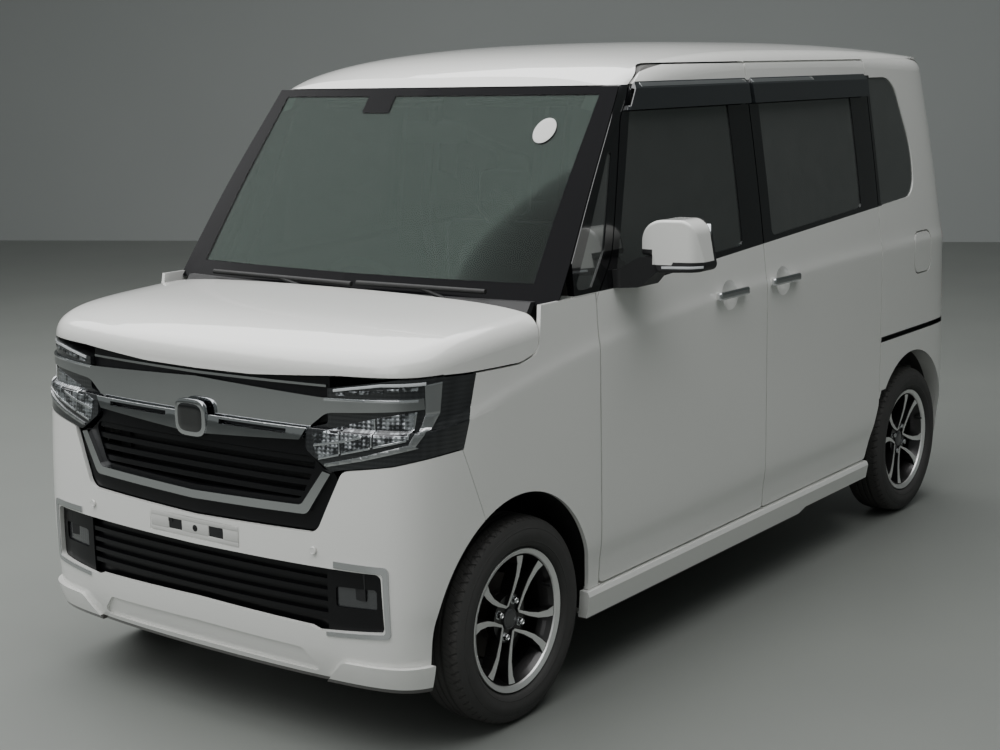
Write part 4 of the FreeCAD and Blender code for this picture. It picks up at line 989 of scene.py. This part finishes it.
@dataclass
class Wheels:
    """Centre caps, wheel nuts and valves."""

    bench: Bench
    centre_x: float = 652.5
    axle_z: float = 278.5
    axles: dict = field(default_factory=lambda: {"front": -1225.0, "rear": 1295.0})
    nut_circle: float = 50.0
    nut_from: float = 65.0

    def build(self) -> None:
        """Dress all four wheels."""
        bench = self.bench
        for end, axle in self.axles.items():
            centre = (self.centre_x, axle, self.axle_z)
            cap = bench.turned(centre, (1, 0, 0), [
                (28, 26), (29, 32), (28, 35), (25, 36.2), (23, 35.2), (21, 36), (12, 37.2), (0.1, 37.4)], 40)
            nuts = []
            for k in range(4):
                turn = math.radians(self.nut_from + 90 * k)
                y, z = self.nut_circle * math.cos(turn), self.nut_circle * math.sin(turn)
                spot = (self.centre_x, axle + y, self.axle_z + z)
                nuts.append(bench.turned(spot, (1, 0, 0), [
                    (13, 26), (13, 31), (9.5, 32), (9.5, 41), (8, 43), (5, 43.5), (4, 42), (0.1, 41.8)], 6))
            nut = bench.merged(nuts)
            turn = math.radians(20)
            spot = (self.centre_x, axle + 160 * math.cos(turn), self.axle_z + 160 * math.sin(turn))
            valve = bench.turned(spot, (1, 0, 0), [(4.5, 34), (4.0, 52), (4.6, 53), (4.6, 62), (3.5, 63)], 12)
            for piece, name, look in ((cap, "wheel_cap", "cap_grey"), (nut, "wheel_nuts", "satin_silver"),
                                      (valve, "tyre_valve", "rubber_black")):
                other = bench.flipped(piece)
                bench.finish(piece, f"{name}_{end}_left", f"wheel_{end}_left", look, "wheel_alloy")
                bench.finish(other, f"{name}_{end}_right", f"wheel_{end}_right", look, "wheel_alloy")


@dataclass
class Seats:
    """Padded seats in place of the plain CAD ones."""

    bench: Bench
    sewing: tuple = ((0.045, 0.004), (0.004, -0.008), (0.004, 0.010), (0.03, 0.004))

    def build(self) -> None:
        """Build front and rear seats."""
        rows = {
            "front": ((70, -420, 420), (560, 60, 640), (80, 62, 560), (550, 188, 1180), (210, 92, 1198),
            (420, 174, 1358)),
            "rear": ((40, 540, 440), (560, 960, 620), (40, 942, 560), (560, 1048, 1120),
            (200, 952, 1132), (400, 1029, 1288)),
        }
        for row, (b0, b1, k0, k1, h0, h1) in rows.items():
            for side in Side:
                sign = side.value
                for part, low, high, up in (
                    ("cushion", b0, b1, True), ("back", k0, k1, False), ("rest", h0, h1, False)):
                    low_s, high_s = self._sided(low, high, sign)
                    pad = self._pad(low_s, high_s, up)
                    pad = self.bench.finish(
                        pad, f"{row}_seat_{part}_{side.word}", "body_shell", "seat_cloth", "seat_cloth", 60)
                low_s, high_s = self._sided(
                    (b0[0] + 20, b0[1] + 40, 242), (b1[0] - 20, b1[1] - 30, b0[2] + 12), sign)
                foot = self.bench.block(low_s, high_s, 12, 3)
                posts = [foot]
                for x in (h0[0] + 55, h1[0] - 55):
                    y = (h0[1] + h1[1]) / 2
                    posts.append(self.bench.turned((sign * x, y, k1[2] - 30), (0, 0, 1),
                        [(6, 0), (6, 55), (5, 56)], 12))
                frame = self.bench.merged(posts)
                frame = self.bench.finish(
                    frame, f"{row}_seat_frame_{side.word}", "body_shell", "cabin_plastic", "cabin_plastic")
            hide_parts(f"{row}_seats")

    def _sided(self, low: Point, high: Point, sign: int) -> tuple[Point, Point]:
        """Corners on the left or right."""
        near, far = sorted((low[0] * sign, high[0] * sign))
        return (near, *low[1:]), (far, *high[1:])

    def _pad(self, low: Point, high: Point, up: bool) -> Piece:
        """A crowned pad with a sewn channel round its middle panel and across it."""
        bench = self.bench
        pad = bench.block(low, high, 26, 1)
        with bench.editing():
            bpy.ops.mesh.subdivide(number_cuts=2)
            bpy.ops.mesh.select_all(action="DESELECT")
        way = Vector((0, 0, 1)) if up else Vector((0, -1, 0))
        reach = max((v.co.dot(way) for v in pad.data.vertices))
        for face in pad.data.polygons:
            face.select = face.normal.dot(way) > 0.9 and face.center.dot(way) > reach - 0.002
        with bench.editing(whole=False):
            for thickness, depth in self.sewing:
                bpy.ops.mesh.inset(thickness=thickness, depth=depth)
        bench.modify(pad, "SUBSURF", levels=2, render_levels=2)
        return pad


@dataclass
class Trim:
    """Small outside pieces of the nose, sides and tail."""

    bench: Bench
    shell: tuple = ("body_shell", "body_shell")

    def build(self) -> None:
        """Build every trim piece."""
        self._plate_bracket()
        self._nose()
        self._sides()
        self._rear()

    def _plate_bracket(self) -> None:
        """The bare bracket for the front number plate, with its slots and middle screw."""
        bench = self.bench
        parts = []
        for low, high in (
            ((-166, -1693.6, 547), (166, -1691.4, 561)), ((-166, -1693.6, 506), (166, -1691.4, 519)),
                          ((-166, -1693.6, 517), (-96, -1691.4, 549)),
                          ((-46, -1693.6, 517), (56, -1691.4, 549)),
                          ((110, -1693.6, 517), (166, -1691.4, 549))):
            parts.append(bench.block(low, high, 0.8, 2))
        bench.finish(bench.merged(parts), "plate_bracket", "body_shell", "plate_bracket", "black_plastic")
        backs = [bench.block((x, -1692.4, 518), (x + 52, -1691.3, 548), 0.4, 1) for x in (-97, 57)]
        lips = [bench.block((x, -1694.4, 538), (x + 16, -1692.0, 548), 0.5, 1) for x in (-97, 93)]
        screw = bench.turned(
            (5, -1693, 533), (0, -1, 0), [(9, 0), (9, 1.2), (7, 2.4), (3.4, 2.6), (3, 1.2), (0.1, 1)], 24)
        bench.finish(bench.merged([*backs, *lips, screw]), "plate_screw", "body_shell", "chassis_steel",
            "black_plastic")

    def _nose(self) -> None:
        """Blank badge, its black field and parking sensors."""
        bench = self.bench
        turns = [math.radians(10 * k) for k in range(36)]
        for name, half_wide, half_high, y, thickness, bevel, look in (
            ("blank_badge", 57, 50, -1680.5, 13, 3.0, "chrome"),
            ("badge_field", 45, 38, -1687.1, 1.0, 0.3, "gloss_black"),
        ):
            ring = [(half_wide * self._squared(math.cos(t)), 830 + half_high * self._squared(math.sin(t)))
                for t in turns]
            badge = bench.thick(bench.outline(ring, Face.FRONT, y, 16.0), thickness, bevel)
            bench.finish(badge, name, "body_shell", look, "chrome")
        eye = bench.turned(
            (419, -1682, 537), (0.08, -1, 0), [(10, 0), (10, 3.2), (9, 4), (7.5, 4), (7, 3.4), (0.1, 3.5)], 32
        )
        bench.on_both_sides(eye, "parking_sensor", self.shell, "pearl_white_paint", "pearl_white_paint")

    def _squared(self, share: float) -> float:
        """Push a circle's share out towards a square with round corners."""
        return math.copysign(abs(share) ** 0.55, share)

    def _sides(self) -> None:
        """Mirror glass, mirror lamps and bright lines on the visors."""
        bench = self.bench
        doors = ("front_door_left", "front_door_right")
        pane = bench.block((792, -601, 1178), (934, -597, 1278), 1.6, 2)
        bench.on_both_sides(pane, "mirror_glass", doors, "mirror_glass", "chrome")
        lamp = bench.fitted(
            [(838, 1160), (944, 1162), (944, 1169), (838, 1167)], "door_mirror_left", Face.FRONT, 0.4, 3.0)
        bench.on_both_sides(lamp, "mirror_lamp", doors, "light_bar", "clear_lens")
        for name, node, y0, y1, bodies in (
            ("front_visor_strip", "front_door_visor_left", -560, 88, doors),
            ("side_visor_strip", "side_visors", 132, 560, self.shell),
        ):
            shine = bench.fitted(
                [(y0, 1651), (y1, 1651), (y1, 1662), (y0, 1662)], node, Face.LEFT, 0.4, 1.4, 0.3, 30.0)
            bench.on_both_sides(shine, name, bodies, "lamp_silver", "chrome")

    def _rear(self) -> None:
        """Tailgate garnish, wiper, high lamp and reflectors."""
        bench = self.bench
        garnish = [(-330, 952), (330, 952), (322, 976), (-322, 976)]
        high_lamp = [(-150, 1606), (150, 1606), (150, 1622), (-150, 1622)]
        for name, ring, lift, thickness, bevel, step, look, slot in (
            ("tailgate_garnish", garnish, 3.0, 9.0, 2.5, 14.0, "chrome", "chrome"),
            ("high_brake_lamp", high_lamp, 1.0, 6.0, 1.5, 9.0, "reflector_red", "red_lens"),
        ):
            plate = bench.fitted(ring, "tailgate", Face.REAR, lift, thickness, bevel, step)
            bench.finish(plate, name, "tailgate", look, slot)
        plate = bench.fitted(
            [(430, 322), (590, 322), (596, 346), (430, 342)], "rear_bumper", Face.REAR, 0.6, 4.0)
        bench.on_both_sides(plate, "rear_reflector", self.shell, "reflector_red", "red_lens")
        arm = bench.bar((30, 1667, 1168), (-250, 1657, 1236), 11, 9, 2.0)
        blade = bench.bar((-30, 1661, 1196), (-470, 1648, 1288), 9, 12, 2.0)
        boss = bench.turned(
            (30, 1655, 1166), (0, 1, 0), [(24, 0), (24, 14), (20, 20), (9, 22), (0.1, 22.4)], 32)
        bench.finish(
            bench.merged([arm, blade, boss]), "rear_wiper", "tailgate", "rubber_black", "black_plastic")


@dataclass
class Cabin:
    """What shows through the glass: mirror, sun visors, instruments and screen."""

    bench: Bench

    def build(self) -> None:
        """Build the cabin's small pieces."""
        bench = self.bench
        parts = [
            bench.block((-118, -640, 1490), (118, -624, 1556), 7, 3),
            bench.bar((0, -648, 1600), (0, -634, 1540), 16, 16, 3.0),
        ]
        bench.finish(bench.merged(parts), "cabin_mirror", "body_shell", "cabin_plastic", "cabin_plastic")
        ring = [(480 + 34 * math.cos(k * 0.2618), 1535 + 34 * math.sin(k * 0.2618)) for k in range(24)]
        sticker = bench.fitted(ring, "windscreen", Face.FRONT, 0.6, 0.8, 0.2, 12.0)
        bench.finish(sticker, "blank_sticker", "body_shell", "plate_bracket", "clear_glass")
        for side in Side:
            near, far = sorted((95 * side.value, 470 * side.value))
            visor = bench.block((near, -610, 1598), (far, -470, 1616), 7, 3)
            bench.finish(visor, f"sun_visor_{side.word}", "body_shell", "seat_cloth", "cabin_plastic")
        hood = bench.block((-520, -900, 1040), (-150, -760, 1096), 20, 3)
        vents = [bench.block((x, -745, 880), (x + 110, -712, 930), 8, 2) for x in (-560, 450)]
        bench.finish(
            bench.merged([hood, *vents]), "dash_hood", "body_shell", "cabin_plastic", "cabin_plastic")
        screen = bench.block((-105, -760, 900), (105, -722, 1024), 5, 2)
        bench.finish(screen, "dash_screen", "body_shell", "screen_glass", "gloss_black")
        lever = bench.bar((-92, -735, 800), (-92, -690, 872), 16, 16, 4.0)
        knob = bench.turned(
            (-92, -690, 872), (0, 0.3, 1), [(8, -4), (15, 0), (18, 14), (17, 30), (10, 38), (0.1, 40)], 24)
        bench.finish(
            bench.merged([lever, knob]), "gear_lever", "body_shell", "black_plastic", "black_plastic")


@dataclass
class Stage:
    """Floor, backdrop, lights and camera."""

    focal: float = 58.78
    eye: Point = (3.161, -4.5287, 1.706)
    yaw: float = 37.02
    pitch: float = 10.59
    roll: float = -1.16

    def build(self) -> None:
        """Build the studio."""
        self._floor()
        self._lights()
        self._camera()

    def _floor(self) -> None:
        """A plain pale floor and a backdrop behind it."""
        for name, spot, turn, wave, detail, dark, pale, rough in (
            ("floor", (0, 0, 0), (0, 0, 0), 1.2, 5.0, (0.17, 0.18, 0.17), (0.205, 0.215, 0.2), 0.42),
            ("backdrop", (-6.0, 9.0, 20.0), (90, 0, 25), 0.4, 3.0, (0.30, 0.315, 0.31), (0.34, 0.355, 0.35), 0.9),
        ):
            bpy.ops.object.select_all(action="DESELECT")
            bpy.ops.mesh.primitive_grid_add(
                x_subdivisions=2, y_subdivisions=2, size=60.0, location=spot,
                rotation=tuple(math.radians(a) for a in turn))
            sheet = bpy.context.object
            sheet.name = name
            desk = Desk(f"{name}_paint")
            colour = desk.mixed(desk.noise(wave, detail), dark, pale)
            sheet.data.materials.append(desk.dressed(Base_Color=colour, Roughness=rough, Metallic=0.0))

    def _lights(self) -> None:
        """A broad overhead light and a front fill."""
        for name, spot, aim, size, power in (
            ("ceiling_light", (-1.7, -1.3, 5.4), (-1.3, -0.9, 0), 10.0, 1000.0),
            ("front_fill", (0.5, -9.0, 4.2), (0, 0, 0.8), 4.0, 90.0),
        ):
            bpy.ops.object.light_add(type="AREA", location=spot)
            lamp = bpy.context.object
            lamp.name = name
            lamp.data.energy = power
            lamp.data.size = size
            lamp.rotation_euler = (Vector(aim) - Vector(spot)).to_track_quat("-Z", "Y").to_euler()
        world = bpy.data.worlds.new("studio_air")
        world.use_nodes = True
        air = world.node_tree.nodes["Background"]
        air.inputs["Color"].default_value = (0.72, 0.78, 0.76, 1.0)
        air.inputs["Strength"].default_value = 0.27
        bpy.context.scene.world = world

    def _camera(self) -> None:
        """The camera at the photograph's place."""
        a, e, r = (math.radians(v) for v in (self.yaw, self.pitch, self.roll))
        back = Vector((math.sin(a) * math.cos(e), -math.cos(a) * math.cos(e), math.sin(e)))
        right = Vector((math.cos(a), math.sin(a), 0.0))
        up = back.cross(right)
        right_rolled = right * math.cos(r) + up * math.sin(r)
        up_rolled = up * math.cos(r) - right * math.sin(r)
        data = bpy.data.cameras.new("camera")
        data.lens = self.focal
        data.sensor_width = 36.0
        data.sensor_fit = "HORIZONTAL"
        camera = bpy.data.objects.new("camera", data)
        bpy.context.scene.collection.objects.link(camera)
        turn = Matrix((right_rolled, up_rolled, back)).transposed().to_4x4()
        camera.matrix_world = Matrix.Translation(Vector(self.eye)) @ turn
        bpy.context.scene.camera = camera


def main() -> None:
    """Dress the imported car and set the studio."""
    logging.basicConfig(level=logging.INFO)
    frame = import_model()
    finishes = Finishes()
    finishes.build()
    bench = Bench(frame, finishes)
    for part in (Shell(bench), Headlamps(bench), Wheels(bench), Seats(bench), Trim(bench), Cabin(bench)):
        before = bench.count
        part.build()
        LOG.info("%s: %d new pieces", type(part).__name__, bench.count - before)
    Stage().build()


if __name__ == "__main__":
    main()
